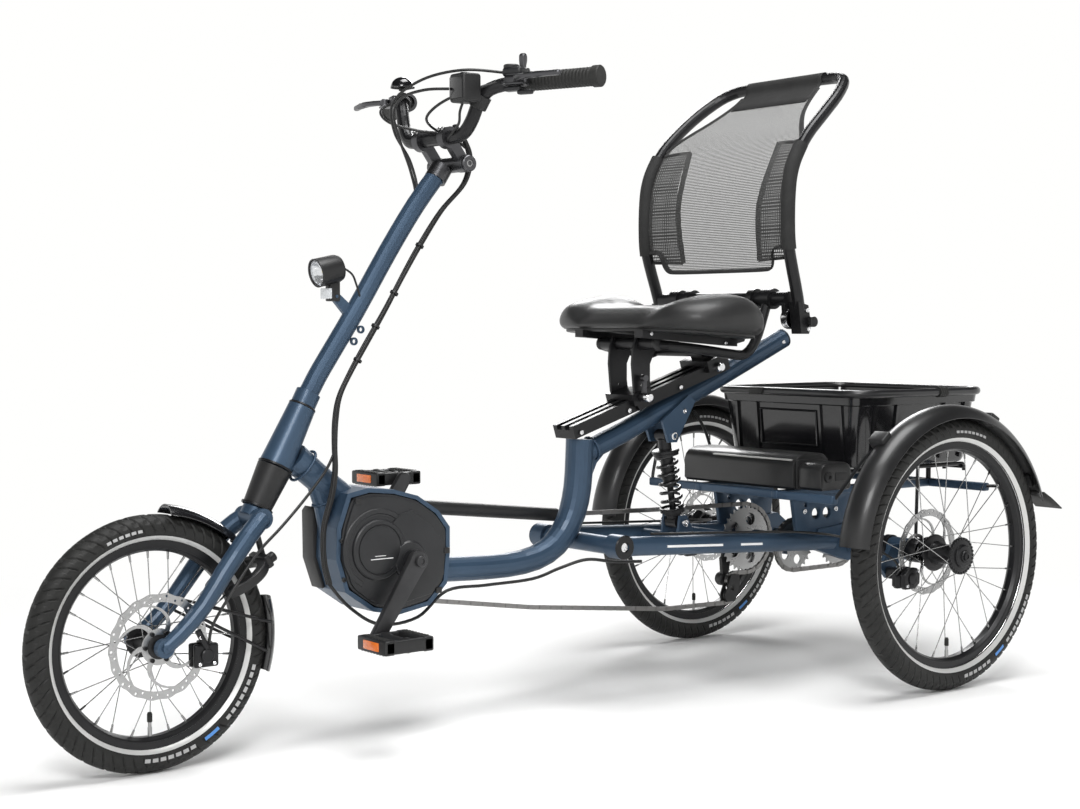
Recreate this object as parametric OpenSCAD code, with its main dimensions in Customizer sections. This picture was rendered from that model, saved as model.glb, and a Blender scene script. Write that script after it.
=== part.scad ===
// Adult tricycle with a low frame, a pedal motor, rear suspension, an adjustable seat and a rear crate.
// X is the rider's left, Y points to the back and Z points up. The wheels stand on Z = 0.

/* [Wheels] */
// Distance between the front and rear axles
wheelbase = 1422; // [1400:1:1440]
// Distance between the two rear wheels, centre to centre
track = 682; // [676:1:700]
// Front tyre outer radius
front_r = 194.5; // [193:0.5:196]
// Front tyre section width
front_tyre_w = 42; // [40:1:44]
// Front rim bead seat radius
front_bead_r = 152.5; // [152:0.5:153]
// Rear tyre outer radius
rear_r = 250; // [248:0.5:252]
// Rear tyre section width
rear_tyre_w = 47; // [44:1:50]
// Rear rim bead seat radius
rear_bead_r = 203; // [202:0.5:204]
// Number of spokes in each wheel
spoke_count = 28; // [24:4:32]

/* [Steering] */
// Lean of the steering axis back from vertical
steer_tilt = 28; // [27:0.5:29]
// Radius of the fork's steerer
steerer_r = 14.3; // [13:0.1:15]
// Radius of the steering column tube
column_r = 16; // [15:0.5:18]
// Radius of the handlebar tube
bar_r = 11.1; // [10:0.1:12.5]
// Distance from the centre line to the handlebar's end
bar_end_x = 300; // [280:5:310]

/* [Frame] */
// Radius of the main beam at its front end
beam_r = 21; // [20:1:23]
// Radius of the seat tube
seat_tube_r = 25; // [23:1:27]
// Radius of the boom that carries the seat
boom_r = 19; // [17:1:21]
// Radius of the swingarm's side tubes
arm_r = 17; // [15:1:18]

/* [Drive] */
// Length of a crank arm
crank_len = 140; // [130:5:150]
// Crank angle, measured from straight down towards the front
crank_angle = 34; // [0:1:360]
// Outer radius of the chainring
chainring_r = 76; // [70:1:80]

/* [Seat] */
// Overall width of the cushion
cushion_w = 430; // [400:5:440]
// Radius of the backrest tube
back_tube_r = 11; // [10:0.5:12.5]
// Half the distance between the backrest's side tubes
back_half_w = 193; // [185:1:200]

/* [Crate] */
// Overall width of the crate's rim
crate_w = 412; // [380:2:430]
// Overall length of the crate's rim
crate_len = 388; // [360:2:400]
// Height of the crate
crate_h = 143.5; // [120:0.5:150]

/* [Hidden] */
$fn = 64;
front_axle = [0, -765, front_r];
rear_axle = [0, front_axle.y + wheelbase, rear_r];
half_track = track / 2;
clearance = 0.06;
gap = 0.5;

// Steering axis: its foot is the top of the fork crown
steer_foot = [0, -583, 385];
steer_dir = [0, sin(steer_tilt), cos(steer_tilt)];
cone_low = 3;
cone_top = 70;
head_low = 71.5;
head_high = 176;
bearing_h = 10;
bearing_r = 18;
column_low = 180;
column_path = [[0, -483, 571], [0, -465, 600], [0, -402, 691], [0, -338, 790], [0, -284, 867], [0, -236, 925]];
stem_pivot = [0, -213, 936];
bar_centre = [0, -244, 977];
bar_clamp_x = 37;

// Fork legs, left side
leg_path = [[26, -588, 372], [40, -620, 347], [47, -664, 297], [50, -700, 250], [51.5, -738, 214], [52, -765, 194.5]];
leg_radii = [15, 15, 14.5, 13.5, 12.5, 11];

// Handlebar, left half
bar_path = [[0, -244, 977], [62, -244, 977], [84, -242, 984], [100, -239, 1004], [112, -235, 1030],
    [128, -225, 1048], [152, -205, 1056], [180, -183, 1058], [bar_end_x, -138, 1058]];
grip_start = [178, -184.5, 1058];
grip_end = [bar_end_x + 2, -137.3, 1058];

// Frame tubes on the centre plane
down_path = [[0, -515, 462], [0, -470, 425], [0, -415, 385]];
strut_path = [[0, -478, 425], [0, -462, 380], [0, -447, 305]];
beam_path = [[0, -262, 262], [0, -190, 258], [0, -100, 256], [0, -35, 264], [0, 8, 284],
    [0, 38, 318], [0, 55, 360], [0, 62, 405], [0, 65, 468]];
beam_radii = [beam_r, beam_r, beam_r, beam_r + 1, beam_r + 2, seat_tube_r - 1, seat_tube_r, seat_tube_r, seat_tube_r];
boom_path = [[0, 66, 440], [0, 110, 456], [0, 170, 478], [0, 240, 507], [0, 360, 554], [0, 575, 645]];

// Motor shell outline in the side plane, as [y, z]
motor_outline = [[-446, 404], [-409, 411], [-360, 406], [-313, 393], [-272, 366], [-250, 338], [-250, 296],
    [-256, 245], [-290, 212], [-351, 202], [-400, 212], [-451, 247], [-468, 300], [-466, 350]];
motor_centre = [-358, 306];
motor_half_w = 48;
motor_wall = 0.93;
crank_axle = [0, -335, 292];
motor_cap = [-393, 312];

// Seat rail line: slope and start
rail_slope = 17.5;
rail_start = [0, 33, 470];
rail_len = 392;
rail_w = 56;
rail_h = 24;

// Suspension
swing_pivot = [0, 66, 286];
pivot_pin_r = 8;
arm_x = 105;
shock_top = [0, 264, 467];
shock_low = [0, 292, 305];
shock_len = norm(shock_top - shock_low);
shock_tilt = atan2(shock_low.y - shock_top.y, shock_top.z - shock_low.z);

// Drive train behind the pedals
jack_axle = [0, 535, 250];
ring_x = -60;
cog_r = 64;
cog2_r = 48;
drive_shaft_r = 8;
chain2_x = 70;
upper_pulley = [ring_x, 500, 170];
lower_pulley = [ring_x, 487, 142];
pulley_r = 10.5;
chain_r = 3.5;
chain_rise = 4.5;

// Seat frame
seat_pivot = [0, 425, 682];
front_tube_y = 180;
front_tube_z = 636;
cross_tube = [0, 413, 718];
rail_side_path = [[60, 181, 636], [92, 196, 633], [115, 224, 629], [124, 262, 624], [124, 330, 616], [124, 352, 618],
    [124, 370, 632], [124, 384, 655], [124, 396, 685], [124, 404, 706]];
back_path = [[187, 430, 664], [189, 418, 720], [192, 396, 790], [193, 388, 830], [193, 388, 900], [193, 402, 960],
    [193, 434, 1010], [191, 478, 1052], [183, 524, 1090], [164, 562, 1120], [138, 578, 1132], [104, 582, 1135],
    [0, 582, 1136]];

// Rack and crate
crate_front_y = 569;
crate_top_z = 548;

// Unit vector
function unit(v) = v / norm(v);

// Mirror image of a path in the centre plane
function mirrored(path) = [for (p = path) [-p.x, p.y, p.z]];

// Direction of a path at point i
function heading(path, i) = unit(path[min(i + 1, len(path) - 1)] - path[max(i - 1, 0)]);

// Smooth curve through a path's points, with steps points to each stretch
function spline_point(a, b, c, d, t) = 0.5 * (2 * b + (c - a) * t + (2 * a - 5 * b + 4 * c - d) * t * t
    + (3 * b - a - 3 * c + d) * t * t * t);
function smooth(path, steps = 3) = let (n = len(path)) concat([for (i = [0:n - 2]) for (k = [0:steps - 1])
    spline_point(path[max(i - 1, 0)], path[i], path[i + 1], path[min(i + 2, n - 1)], k / steps)], [path[n - 1]]);

// Points on a circle in the side plane, from angle a0 to a1
function side_arc(centre, r, a0, a1, n, x = 0) = [for (i = [0:n]) let (a = a0 + (a1 - a0) * i / n)
    [x, centre.y + r * cos(a), centre.z + r * sin(a)]];

// Tube swept along a path, closed at both ends; radius is one number or one number to each point
module tube(path, radius, sides = 16, reference = [1, 0, 0]) {
    n = len(path);
    rings = [for (i = [0:n - 1]) let (t = heading(path, i), u = unit(cross(reference, t)), v = cross(t, u),
        r = is_list(radius) ? radius[i] : radius) for (k = [0:sides - 1])
        path[i] + r * (cos(360 * k / sides) * u + sin(360 * k / sides) * v)];
    walls = [for (i = [0:n - 2]) for (k = [0:sides - 1]) let (a = i * sides + k, b = i * sides + (k + 1) % sides)
        each [[a + sides, b + sides, b], [a + sides, b, a]]];
    caps = [[for (k = [0:sides - 1]) k], [for (k = [0:sides - 1]) n * sides - 1 - k]];
    polyhedron(points = rings, faces = concat(walls, caps), convexity = 6);
}

// Straight round bar between two points
module rod(a, b, r, r2 = undef) {
    d = b - a;
    translate(a) rotate([0, acos(d.z / norm(d)), atan2(d.y, d.x)])
        cylinder(h = norm(d), r1 = r, r2 = is_undef(r2) ? r : r2);
}

// Round bar along X
module cross_rod(x0, x1, y, z, r) {
    translate([x0, y, z]) rotate([0, 90, 0]) cylinder(h = x1 - x0, r = r);
}

// Flat plate in the side plane, from x0 to x1; its children are drawn as [y, z]
module side_plate(x0, x1) {
    translate([x0, 0, 0]) rotate([90, 0, 90]) linear_extrude(x1 - x0) children();
}

// Puts a wheel-shaped child on an axle: its own Z becomes X, its own X becomes Y
module on_axle(p) {
    translate(p) rotate([90, 0, 90]) children();
}

// Places children on the steering axis, at distance s above the fork crown
module on_steer(s) {
    translate(steer_foot + s * steer_dir) rotate([-steer_tilt, 0, 0]) children();
}

// Draws the children on the left and on the right
module both_sides() {
    children();
    mirror([1, 0, 0]) children();
}

module ring(r_out, r_in, h) {
    difference() {
        cylinder(h = h, r = r_out);
        translate([0, 0, -1]) cylinder(h = h + 2, r = r_in);
    }
}

// ---------- wheels ----------

rim_half_w = 12.5;
rim_lip = 6;
rim_wall = 2.5;

module rim_outline(bead) {
    polygon([[bead - 13, -6], [bead - 9, -rim_half_w], [bead + rim_lip, -rim_half_w],
        [bead + rim_lip, rim_wall - rim_half_w], [bead, rim_wall - rim_half_w], [bead, rim_half_w - rim_wall],
        [bead + rim_lip, rim_half_w - rim_wall], [bead + rim_lip, rim_half_w], [bead - 9, rim_half_w],
        [bead - 13, 6]]);
}

module rim(axle, bead) {
    color("silver") on_axle(axle) rotate_extrude() rim_outline(bead);
}

module tyre(axle, bead, outer, w) {
    color("dimgray") on_axle(axle) rotate_extrude() difference() {
        union() {
            translate([outer - w / 2, 0]) circle(r = w / 2);
            translate([bead, rim_wall - rim_half_w]) square([outer - w / 2 - bead, 2 * (rim_half_w - rim_wall)]);
        }
        rim_outline(bead);
    }
}

// Spokes run from both hub flanges to the rim, alternately leading and trailing
module spokes(axle, bead, flange_r, flange_x) {
    lacing = 24;
    for (i = [0:spoke_count - 1]) {
        side = i % 2 == 0 ? 1 : -1;
        lead = floor(i / 2) % 2 == 0 ? lacing : -lacing;
        a = 360 * i / spoke_count;
        rod(axle + [side * flange_x, flange_r * cos(a + lead), flange_r * sin(a + lead)],
            axle + [0, (bead - 11) * cos(a), (bead - 11) * sin(a)], 1);
    }
}

module hub_shell(axle, x0, x1, barrel_r, flange_r, flange_x) {
    difference() {
        union() {
            cross_rod(axle.x + x0, axle.x + x1, axle.y, axle.z, barrel_r);
            for (s = [-1, 1])
                cross_rod(axle.x + s * flange_x - 2, axle.x + s * flange_x + 2, axle.y, axle.z, flange_r);
        }
        cross_rod(axle.x + x0 - 1, axle.x + x1 + 1, axle.y, axle.z, 6 + clearance);
    }
}

// Brake disc with a braking ring, six arms and a mounting ring
module rotor(centre, bore_r, r_out = 80) {
    band = 14;
    mount_r = 26;
    color("silver") on_axle(centre) translate([0, 0, -1]) {
        ring(r_out, r_out - band, 2);
        ring(mount_r, bore_r, 2);
        for (i = [0:5])
            rotate([0, 0, 60 * i]) translate([mount_r - 2, -3, 0]) cube([r_out - band - mount_r + 4, 6, 2]);
    }
}

front_flange_x = 26;
front_hub_r = 17;
front_rotor_x = 34;

module front_tyre() tyre(front_axle, front_bead_r, front_r, front_tyre_w);
module front_rim() rim(front_axle, front_bead_r);
module front_rotor() rotor(front_axle + [front_rotor_x, 0, 0], front_hub_r);
module front_hub() {
    color("dimgray") {
        hub_shell(front_axle, -38, 38, front_hub_r, 24, front_flange_x);
        spokes(front_axle, front_bead_r, 22, front_flange_x);
    }
}

rear_flange_x = 30;
rear_hub_r = 18;
rear_rotor_x = 47;

module rear_hub(side) {
    centre = rear_axle + [side * half_track, 0, 0];
    color("dimgray") {
        spokes(centre, rear_bead_r, 31, rear_flange_x);
        mirror([side < 0 ? 1 : 0, 0, 0]) {
            c = rear_axle + [half_track, 0, 0];
            cross_rod(c.x - rear_rotor_x - 3, c.x + 44, c.y, c.z, rear_hub_r);
            for (s = [-1, 1])
                cross_rod(c.x + s * rear_flange_x - 2, c.x + s * rear_flange_x + 2, c.y, c.z, 34);
            cross_rod(c.x - 28, c.x + 28, c.y, c.z, 26);
        }
    }
}

module left_tyre() tyre(rear_axle + [half_track, 0, 0], rear_bead_r, rear_r, rear_tyre_w);
module left_rim() rim(rear_axle + [half_track, 0, 0], rear_bead_r);
module left_hub() {
    rear_hub(1);
    // Drive shaft with its sprocket, which turns with the left wheel
    color("goldenrod") {
        cross_rod(chain2_x - 20, half_track - rear_rotor_x - 2, rear_axle.y, rear_axle.z, drive_shaft_r);
        cross_rod(chain2_x - 1.5, chain2_x + 1.5, rear_axle.y, rear_axle.z, cog2_r);
    }
}
module left_rotor() rotor(rear_axle + [half_track - rear_rotor_x, 0, 0], rear_hub_r);
module right_tyre() tyre(rear_axle - [half_track, 0, 0], rear_bead_r, rear_r, rear_tyre_w);
module right_rim() rim(rear_axle - [half_track, 0, 0], rear_bead_r);
module right_hub() {
    rear_hub(-1);
    color("dimgray") cross_rod(rear_rotor_x - half_track + 2, -88, rear_axle.y, rear_axle.z, drive_shaft_r);
}
module right_rotor() rotor(rear_axle - [half_track - rear_rotor_x, 0, 0], rear_hub_r);

// ---------- steering ----------

module fork() {
    color("steelblue") {
        on_steer(-4) cylinder(h = column_low + 20, r = steerer_r);
        both_sides() {
            tube(smooth(leg_path, 2), [for (i = [0:10]) lookup(i / 2, [for (k = [0:5]) [k, leg_radii[k]]])]);
            cross_rod(46, 58, front_axle.y, front_axle.z, 14);
        }
        cross_rod(-34, 34, leg_path[0].y, leg_path[0].z, 16);
        on_steer(-14) cylinder(h = 14, r = 21);
    }
    color("silver") cross_rod(-62, 62, front_axle.y, front_axle.z, 6);
}

module headset_cone() {
    color("black") on_steer(cone_low) difference() {
        cylinder(h = cone_top - cone_low, r1 = 23, r2 = 28);
        translate([0, 0, -1]) cylinder(h = cone_top, r = steerer_r + 0.3);
    }
}

module head_bearings() {
    color("dimgray") for (s = [head_low, head_high - bearing_h])
        on_steer(s) ring(bearing_r, steerer_r + clearance, bearing_h);
}

module steering_column() {
    color("steelblue") {
        on_steer(column_low) difference() {
            cylinder(h = 22, r = 20);
            translate([0, 0, -1]) cylinder(h = 18, r = steerer_r + 0.05);
        }
        tube(smooth(concat([steer_foot + (column_low + 20) * steer_dir], column_path)), column_r, 20);
    }
    // Tongue and pin that carry the headlight
    color("black") {
        side_plate(-4, 4) polygon([[-445, 712], [-436, 723], [-405, 697], [-416, 680]]);
        cross_rod(-4, 4, lamp_pivot.y, lamp_pivot.z, 7);
        cross_rod(-9, 9, lamp_pivot.y, lamp_pivot.z, lamp_pin_r);
    }
}

// Stem base: a collar on top of the column with a cross boss and two pivot pins
module stem_base() {
    color("gray") {
        rod([0, -245, 911], [0, -231, 932], 18.5);
        cross_rod(-28, 28, stem_pivot.y, stem_pivot.z, 13);
        cross_rod(-52, 52, stem_pivot.y, stem_pivot.z, 6);
    }
}

module stem_clamp() {
    color("gray") both_sides() difference() {
        union() {
            cross_rod(28.5, 50, stem_pivot.y, stem_pivot.z, 14);
            cross_rod(bar_clamp_x - 8, bar_clamp_x + 8, bar_centre.y, bar_centre.z, 18);
            translate([0, stem_pivot.y, stem_pivot.z]) rotate([37, 0, 0])
                translate([30, -9, 8]) cube([14, 18, 30]);
        }
        cross_rod(20, 60, stem_pivot.y, stem_pivot.z, 6 + clearance);
        cross_rod(20, 60, bar_centre.y, bar_centre.z, bar_r + 0.1);
    }
}

module handlebar() {
    half = smooth(bar_path);
    left = [for (i = [1:len(half) - 1]) half[i]];
    right = [for (i = [len(half) - 1:-1:0]) [-half[i].x, half[i].y, half[i].z]];
    color("black") tube(concat(right, left), bar_r, 16, [0, 1, 0]);
}

// Frame along the left grip: X runs out along the bar, -Y points forwards
grip_dir = unit(grip_end - grip_start);
grip_yaw = atan2(grip_dir.y, grip_dir.x);
control_foot = [152, -194.2, 1058];
grip_len = 132;
grip_r = 15.5;
grip_inset = 28;

module on_grip() {
    translate(control_foot) rotate([0, 0, grip_yaw]) children();
}

module grips() {
    color("dimgray") both_sides() on_grip() translate([grip_inset, 0, 0]) rotate([0, 90, 0]) difference() {
        union() {
            cylinder(h = grip_len, r = grip_r);
            translate([0, 0, grip_len - 12]) cylinder(h = 12, r = grip_r + 1.5);
        }
        translate([0, 0, -1]) cylinder(h = grip_len - 3, r = bar_r + 0.1);
    }
}

lever_pivot = [30, -37];
lever_pin_r = 3;

// Brake master cylinder: bar clamp, cylinder body and the lever's hinge pin; the left one carries the shifter
module brake_housing(shifter) {
    on_grip() {
        difference() {
            union() {
                rotate([0, 90, 0]) translate([0, 0, 8]) cylinder(h = 13, r = 16);
                translate([0, -46, -9]) cube([42, 33, 4]);
                translate([0, -28, -9]) cube([42, 15, 17]);
            }
            rotate([0, 90, 0]) cylinder(h = 60, r = bar_r + 0.1);
            rotate([0, 90, 0]) translate([0, 0, grip_inset - 0.5]) cylinder(h = 30, r = grip_r + 0.5);
        }
        translate([lever_pivot.x, lever_pivot.y, -8]) cylinder(h = 14, r = lever_pin_r);
        if (shifter) {
            translate([-3, -12, 12]) cube([24, 18, 12]);
            translate([1, 12, 18]) rotate([0, 90, 0]) cylinder(h = 16, r = 2);
            translate([1, 2, 16]) cube([2.5, 10, 4]);
        }
    }
}

module brake_housings() {
    color("gray") {
        brake_housing(true);
        mirror([1, 0, 0]) brake_housing(false);
    }
}

module brake_lever() {
    color("dimgray") on_grip() difference() {
        union() {
            translate([lever_pivot.x, lever_pivot.y, -4.5]) cylinder(h = 9, r = 8);
            translate([0, 0, -4.5]) linear_extrude(9) polygon([[26, -44], [34, -32], [60, -56], [98, -64],
                [124, -64], [126, -72], [98, -74], [54, -68]]);
            translate([122, -69, -4.5]) cylinder(h = 9, r = 6);
        }
        translate([lever_pivot.x, lever_pivot.y, -10]) cylinder(h = 20, r = lever_pin_r + clearance);
    }
}

module brake_lever_left() brake_lever();
module brake_lever_right() mirror([1, 0, 0]) brake_lever();

module shift_lever() {
    color("gray") on_grip() difference() {
        union() {
            translate([4.2, 12, 18]) rotate([0, 90, 0]) cylinder(h = 9, r = 5);
            translate([4.2, 9, 18]) cube([9, 5, 28]);
        }
        translate([0, 12, 18]) rotate([0, 90, 0]) cylinder(h = 30, r = 2 + clearance);
    }
}

pod_low = [100, -286, 1024];
pod_size = [40, 36, 46];

module display_pod() {
    color("black") difference() {
        union() {
            translate(pod_low) cube(pod_size);
            rod([107, -237, 1020], [118, -232, 1040], 15);
            translate([104, -256, 1024]) cube([12, 16, 16]);
        }
        tube(smooth(bar_path), bar_r + 0.1, 16, [0, 1, 0]);
        translate(pod_low + [20, 16, pod_size.z - 4]) cylinder(h = 6, r = 6.3);
    }
}

module pod_button() {
    color("gray") translate(pod_low + [20, 16, pod_size.z - 2]) cylinder(h = 4, r = 6);
}

bell_foot = [-128, -225, 1048];

module bell() {
    color("black") {
        difference() {
            rod(bell_foot + [-6, 0, 0], bell_foot + [6, 0, 0], 15);
            tube(mirrored(smooth(bar_path)), bar_r + 0.1, 16, [0, 1, 0]);
        }
        translate(bell_foot + [0, 0, 13]) cylinder(h = 10, r = 4);
        translate(bell_foot + [0, 0, 31]) ring(16, 3, 2);
        translate(bell_foot + [0, 0, 31]) intersection() {
            sphere(r = 16);
            translate([0, 0, -2]) cylinder(h = 20, r = 16.5);
        }
        translate(bell_foot + [0, 0, 20]) cylinder(h = 12, r = 3);
    }
}

module bell_lever() {
    color("dimgray") translate(bell_foot + [0, 0, 24]) difference() {
        union() {
            cylinder(h = 4, r = 6);
            translate([0, -2.5, 0]) cube([30, 5, 4]);
            translate([30, 0, 0]) cylinder(h = 4, r = 5);
        }
        translate([0, 0, -1]) cylinder(h = 6, r = 3 + clearance);
    }
}

lamp_pivot = [0, -440, 716];
lamp_pin_r = 2.5;

// Headlight with its reflector block, on a fork bracket that is part of the column's clamp
module headlight() {
    color("dimgray") difference() {
        union() {
            rod([0, -474, 752], [0, -428, 762], 23);
            side_plate(-8, 8) polygon([[-452, 708], [-434, 708], [-430, 745], [-450, 745]]);
        }
        cross_rod(-20, 20, lamp_pivot.y, lamp_pivot.z, lamp_pin_r + clearance);
        translate([-4.5, -455, 700]) cube([9, 30, 27]);
    }
}

// Front mudguard: two curved lengths with a stay on each side
fender_ring_r = 28;

module fender_arc(axle, centre_r, r, cut, a0, a1) {
    on_axle(axle) rotate([0, 0, a0]) rotate_extrude(angle = a1 - a0) difference() {
        translate([centre_r, 0]) circle(r = r);
        translate([centre_r, 0]) circle(r = r - 2.5);
        translate([centre_r - 2 * r, -2 * r]) square([2 * r + cut, 4 * r]);
    }
}

module front_fender() {
    color("black") {
        fender_arc(front_axle, 182, fender_ring_r, 14, 46, 82);
        fender_arc(front_axle, 182, fender_ring_r, 14, -18, 15);
        both_sides() {
            rod([22, -578, 165], [45, -700, 232], 2.5);
            rod([22, -570, 210], [45, -690, 248], 2.5);
        }
        rod([0, -608, 322], [0, -596, 362], 5);
        rod([0, -608, 330], [0, -625, 341], 5);
    }
}

// Radius of the slot that a caliper leaves for its rotor
rotor_clear_r = 82;

module front_caliper() {
    color("black") difference() {
        union() {
            translate([front_rotor_x - 11, -712, 158]) cube([24, 38, 34]);
            rod([47, -693, 186], [47, -708, 214], 5);
        }
        cross_rod(front_rotor_x - 2.5, front_rotor_x + 2.5, front_axle.y, front_axle.z, rotor_clear_r);
    }
}

// Ring lock: a hollow horseshoe round the tyre, in a plane through the wheel's axle
lock_angle = 30;
lock_centre_r = 170;
lock_ring_r = 45;
lock_gap = 46;
bolt_r = 3.8;

module on_lock() {
    translate(front_axle) rotate([lock_angle, 0, 0]) translate([0, lock_centre_r, 0]) children();
}

module ring_lock() {
    color("dimgray") {
        on_lock() difference() {
            rotate([0, 0, -90 + lock_gap]) rotate_extrude(angle = 360 - 2 * lock_gap)
                translate([lock_ring_r - 7, -8]) square([15, 16]);
            rotate_extrude() translate([lock_ring_r, 0]) circle(r = bolt_r + 0.7);
        }
        on_lock() translate([-26, 44, -11]) cube([52, 12, 22]);
        on_lock() translate([16, 54, 0]) rotate([-90, 0, 0]) cylinder(h = 12, r = 8);
        rod([0, -572, 310], [0, -586, 360], 5);
    }
}

module lock_shackle() {
    color("silver") on_lock() rotate([0, 0, -90 + lock_gap + 4]) rotate_extrude(angle = 100)
        translate([lock_ring_r, 0]) circle(r = bolt_r);
}

// ---------- cables ----------

// Main bundle from the handlebar down the column, past the head tube and into the motor bracket
bundle_path = [[14, -214, 1002], [18, -196, 975], [20, -188, 945], [20, -200, 905], [19, -246, 858], [18, -288, 800],
    [18, -322, 748], [18, -356, 694], [18, -392, 640], [18, -424, 590], [20, -444, 555], [22, -452, 520],
    [26, -456, 480], [30, -458, 440], [31, -465, 400], [32, -480, 350], [38, -484, 300], [44, -478, 262]];
// Loop from the left pod across to the column
loop_path = [[106, -290, 1046], [70, -312, 1046], [20, -322, 1038], [-12, -318, 1015], [-18, -300, 980],
    [-14, -290, 940], [-8, -290, 900]];
// Hose from the bundle forward to the front caliper
front_hose_path = [[24, -455, 470], [30, -476, 440], [42, -520, 400], [58, -570, 362], [66, -620, 322],
    [68, -668, 262], [60, -690, 222], [48, -690, 195]];
// Lead under the main beam to the swingarm
beam_lead_path = [[44, -478, 262], [42, -440, 222], [36, -380, 188], [26, -300, 190], [24, -240, 228], [24, -160, 230],
    [24, -60, 232], [26, 0, 246], [50, 40, 260], [88, 70, 258], [104, 120, 256]];

module control_cables() {
    color("black") {
        tube(smooth(bundle_path), 5, 10);
        tube(smooth(loop_path), 2.2, 8, [0, 0.7, 0.7]);
        tube(smooth(front_hose_path), 2.2, 8);
        tube(smooth(beam_lead_path), 3, 8);
    }
}

// ---------- main frame ----------

module motor_shape(scale_by = 1) {
    translate(motor_centre) scale([scale_by, scale_by]) translate(-motor_centre) polygon(motor_outline);
}

module beam() {
    tube(smooth(beam_path, 2), [for (i = [0:16]) lookup(i / 2, [for (k = [0:8]) [k, beam_radii[k]]])], 20);
}

module main_frame() {
    color("steelblue") {
        difference() {
            union() {
                on_steer(head_low) cylinder(h = head_high - head_low, r1 = 27, r2 = 22);
                tube(down_path, [24, 23, 22], 20);
            }
            on_steer(head_low - 20) cylinder(h = head_high - head_low + 40, r = bearing_r);
            side_plate(-motor_half_w - 1, motor_half_w + 1) motor_shape(motor_wall);
        }
        difference() {
            union() {
                tube(strut_path, 15, 16);
                side_plate(-motor_half_w, motor_half_w) motor_shape();
                beam();
            }
            side_plate(-motor_half_w - 1, motor_half_w + 1) motor_shape(motor_wall);
        }
        tube(smooth(boom_path, 2), boom_r, 20);
        side_plate(-5, 5) polygon([[88, 462], [88, 400], [100, 424], [124, 446], [160, 462]]);
        cross_rod(-86, 86, swing_pivot.y, swing_pivot.z, 16);
        difference() {
            both_sides() side_plate(22, 28) polygon([[236, 496], [252, 455], [272, 455], [318, 530], [300, 540]]);
            cross_rod(-40, 40, shock_top.y, shock_top.z, 4 + clearance);
        }
        cross_rod(-28, 28, 278, 512, 10);
    }
    color("silver") {
        cross_rod(-32, 32, shock_top.y, shock_top.z, 4);
        cross_rod(-118, 118, swing_pivot.y, swing_pivot.z, pivot_pin_r);
    }
}

motor_cover_w = 54;

module motor_unit() {
    color([0.15, 0.15, 0.16]) difference() {
        union() {
            side_plate(-motor_cover_w + 4, motor_cover_w) motor_shape(motor_wall - 0.005);
            cross_rod(40, motor_cover_w + 8, motor_cap.x, motor_cap.y, 47);
            cross_rod(-30, motor_cover_w + 10, crank_axle.y, crank_axle.z, 26);
        }
        cross_rod(-80, 80, crank_axle.y, crank_axle.z, 9 + clearance);
    }
}

guard_low = [ring_x, -246, 362.5];
guard_high = [ring_x, 57, 328.5];

module chain_guard_tube() {
    color([0.2, 0.2, 0.21]) difference() {
        rod(guard_low, guard_high, 12);
        rod(guard_low - 0.1 * (guard_high - guard_low), guard_high + 0.1 * (guard_high - guard_low), 9);
    }
}

// Slotted rail that the seat slides on
module on_rail(along = 0) {
    translate(rail_start) rotate([rail_slope, 0, 0]) translate([0, along, 0]) children();
}

module seat_rail() {
    color([0.12, 0.12, 0.13]) difference() {
        on_rail() {
            translate([-rail_w / 2, 0, 0]) cube([rail_w, rail_len, rail_h - 8]);
            for (x = [-rail_w / 2, -5, rail_w / 2 - 10]) translate([x, 0, rail_h - 9]) cube([10, rail_len, 9]);
        }
        beam();
        tube(smooth(boom_path, 2), boom_r, 20);
    }
    color("silver") both_sides() on_rail() for (y = [14, rail_len - 12])
        translate([rail_w / 2, y, 8]) rotate([0, 90, 0]) cylinder(h = 3, r = 4);
}

// ---------- cranks ----------

crank_in = 74;
crank_out = 86;
pedal_x = [93, 175];

function crank_end(side) = crank_axle + [0, -side * crank_len * sin(crank_angle), -side * crank_len * cos(crank_angle)];

module crank_arm(side) {
    end = crank_end(side);
    x0 = side > 0 ? crank_in : -crank_out;
    cross_rod(x0, x0 + crank_out - crank_in, crank_axle.y, crank_axle.z, 18);
    cross_rod(x0, x0 + crank_out - crank_in, end.y, end.z, 13);
    translate([x0, crank_axle.y, crank_axle.z]) rotate([(side > 0 ? 180 : 0) - crank_angle, 0, 0])
        translate([0.5, -12, 0]) cube([crank_out - crank_in - 1, 24, crank_len]);
    cross_rod(side > 0 ? crank_in : -pedal_x[1] + 6, side > 0 ? pedal_x[1] - 6 : -crank_in, end.y, end.z, 5);
}

module crank_set() {
    color([0.3, 0.3, 0.31]) {
        cross_rod(-crank_out, crank_out, crank_axle.y, crank_axle.z, 9);
        crank_arm(1);
        crank_arm(-1);
        difference() {
            cross_rod(ring_x - 1.5, ring_x + 1.5, crank_axle.y, crank_axle.z, chainring_r);
            for (a = [0:72:359]) cross_rod(ring_x - 4, ring_x + 4, crank_axle.y + 48 * cos(a),
                crank_axle.z + 48 * sin(a), 15);
        }
    }
}

module pedal(side) {
    end = crank_end(side);
    x0 = side > 0 ? pedal_x[0] : -pedal_x[1];
    color([0.18, 0.18, 0.18]) difference() {
        translate([x0, end.y - 45, end.z - 12]) cube([pedal_x[1] - pedal_x[0], 90, 24]);
        for (y = [end.y - 36, end.y + 13]) translate([x0 + 9, y, end.z - 20]) cube([64, 23, 40]);
        cross_rod(x0 - 1, x0 + 84, end.y, end.z, 5 + clearance);
    }
    color("orange") for (y = [end.y - 46, end.y + 45]) translate([x0 + 20, y, end.z - 7]) cube([42, 1, 14]);
}

module pedal_left() pedal(1);
module pedal_right() pedal(-1);

// ---------- seat ----------

front_clamp_y = 165;
rear_clamp_y = 352;
seat_plate_x = 32;
seat_lever_pivot = [52, 176, 541];
seat_pin_r = 3;

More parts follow.
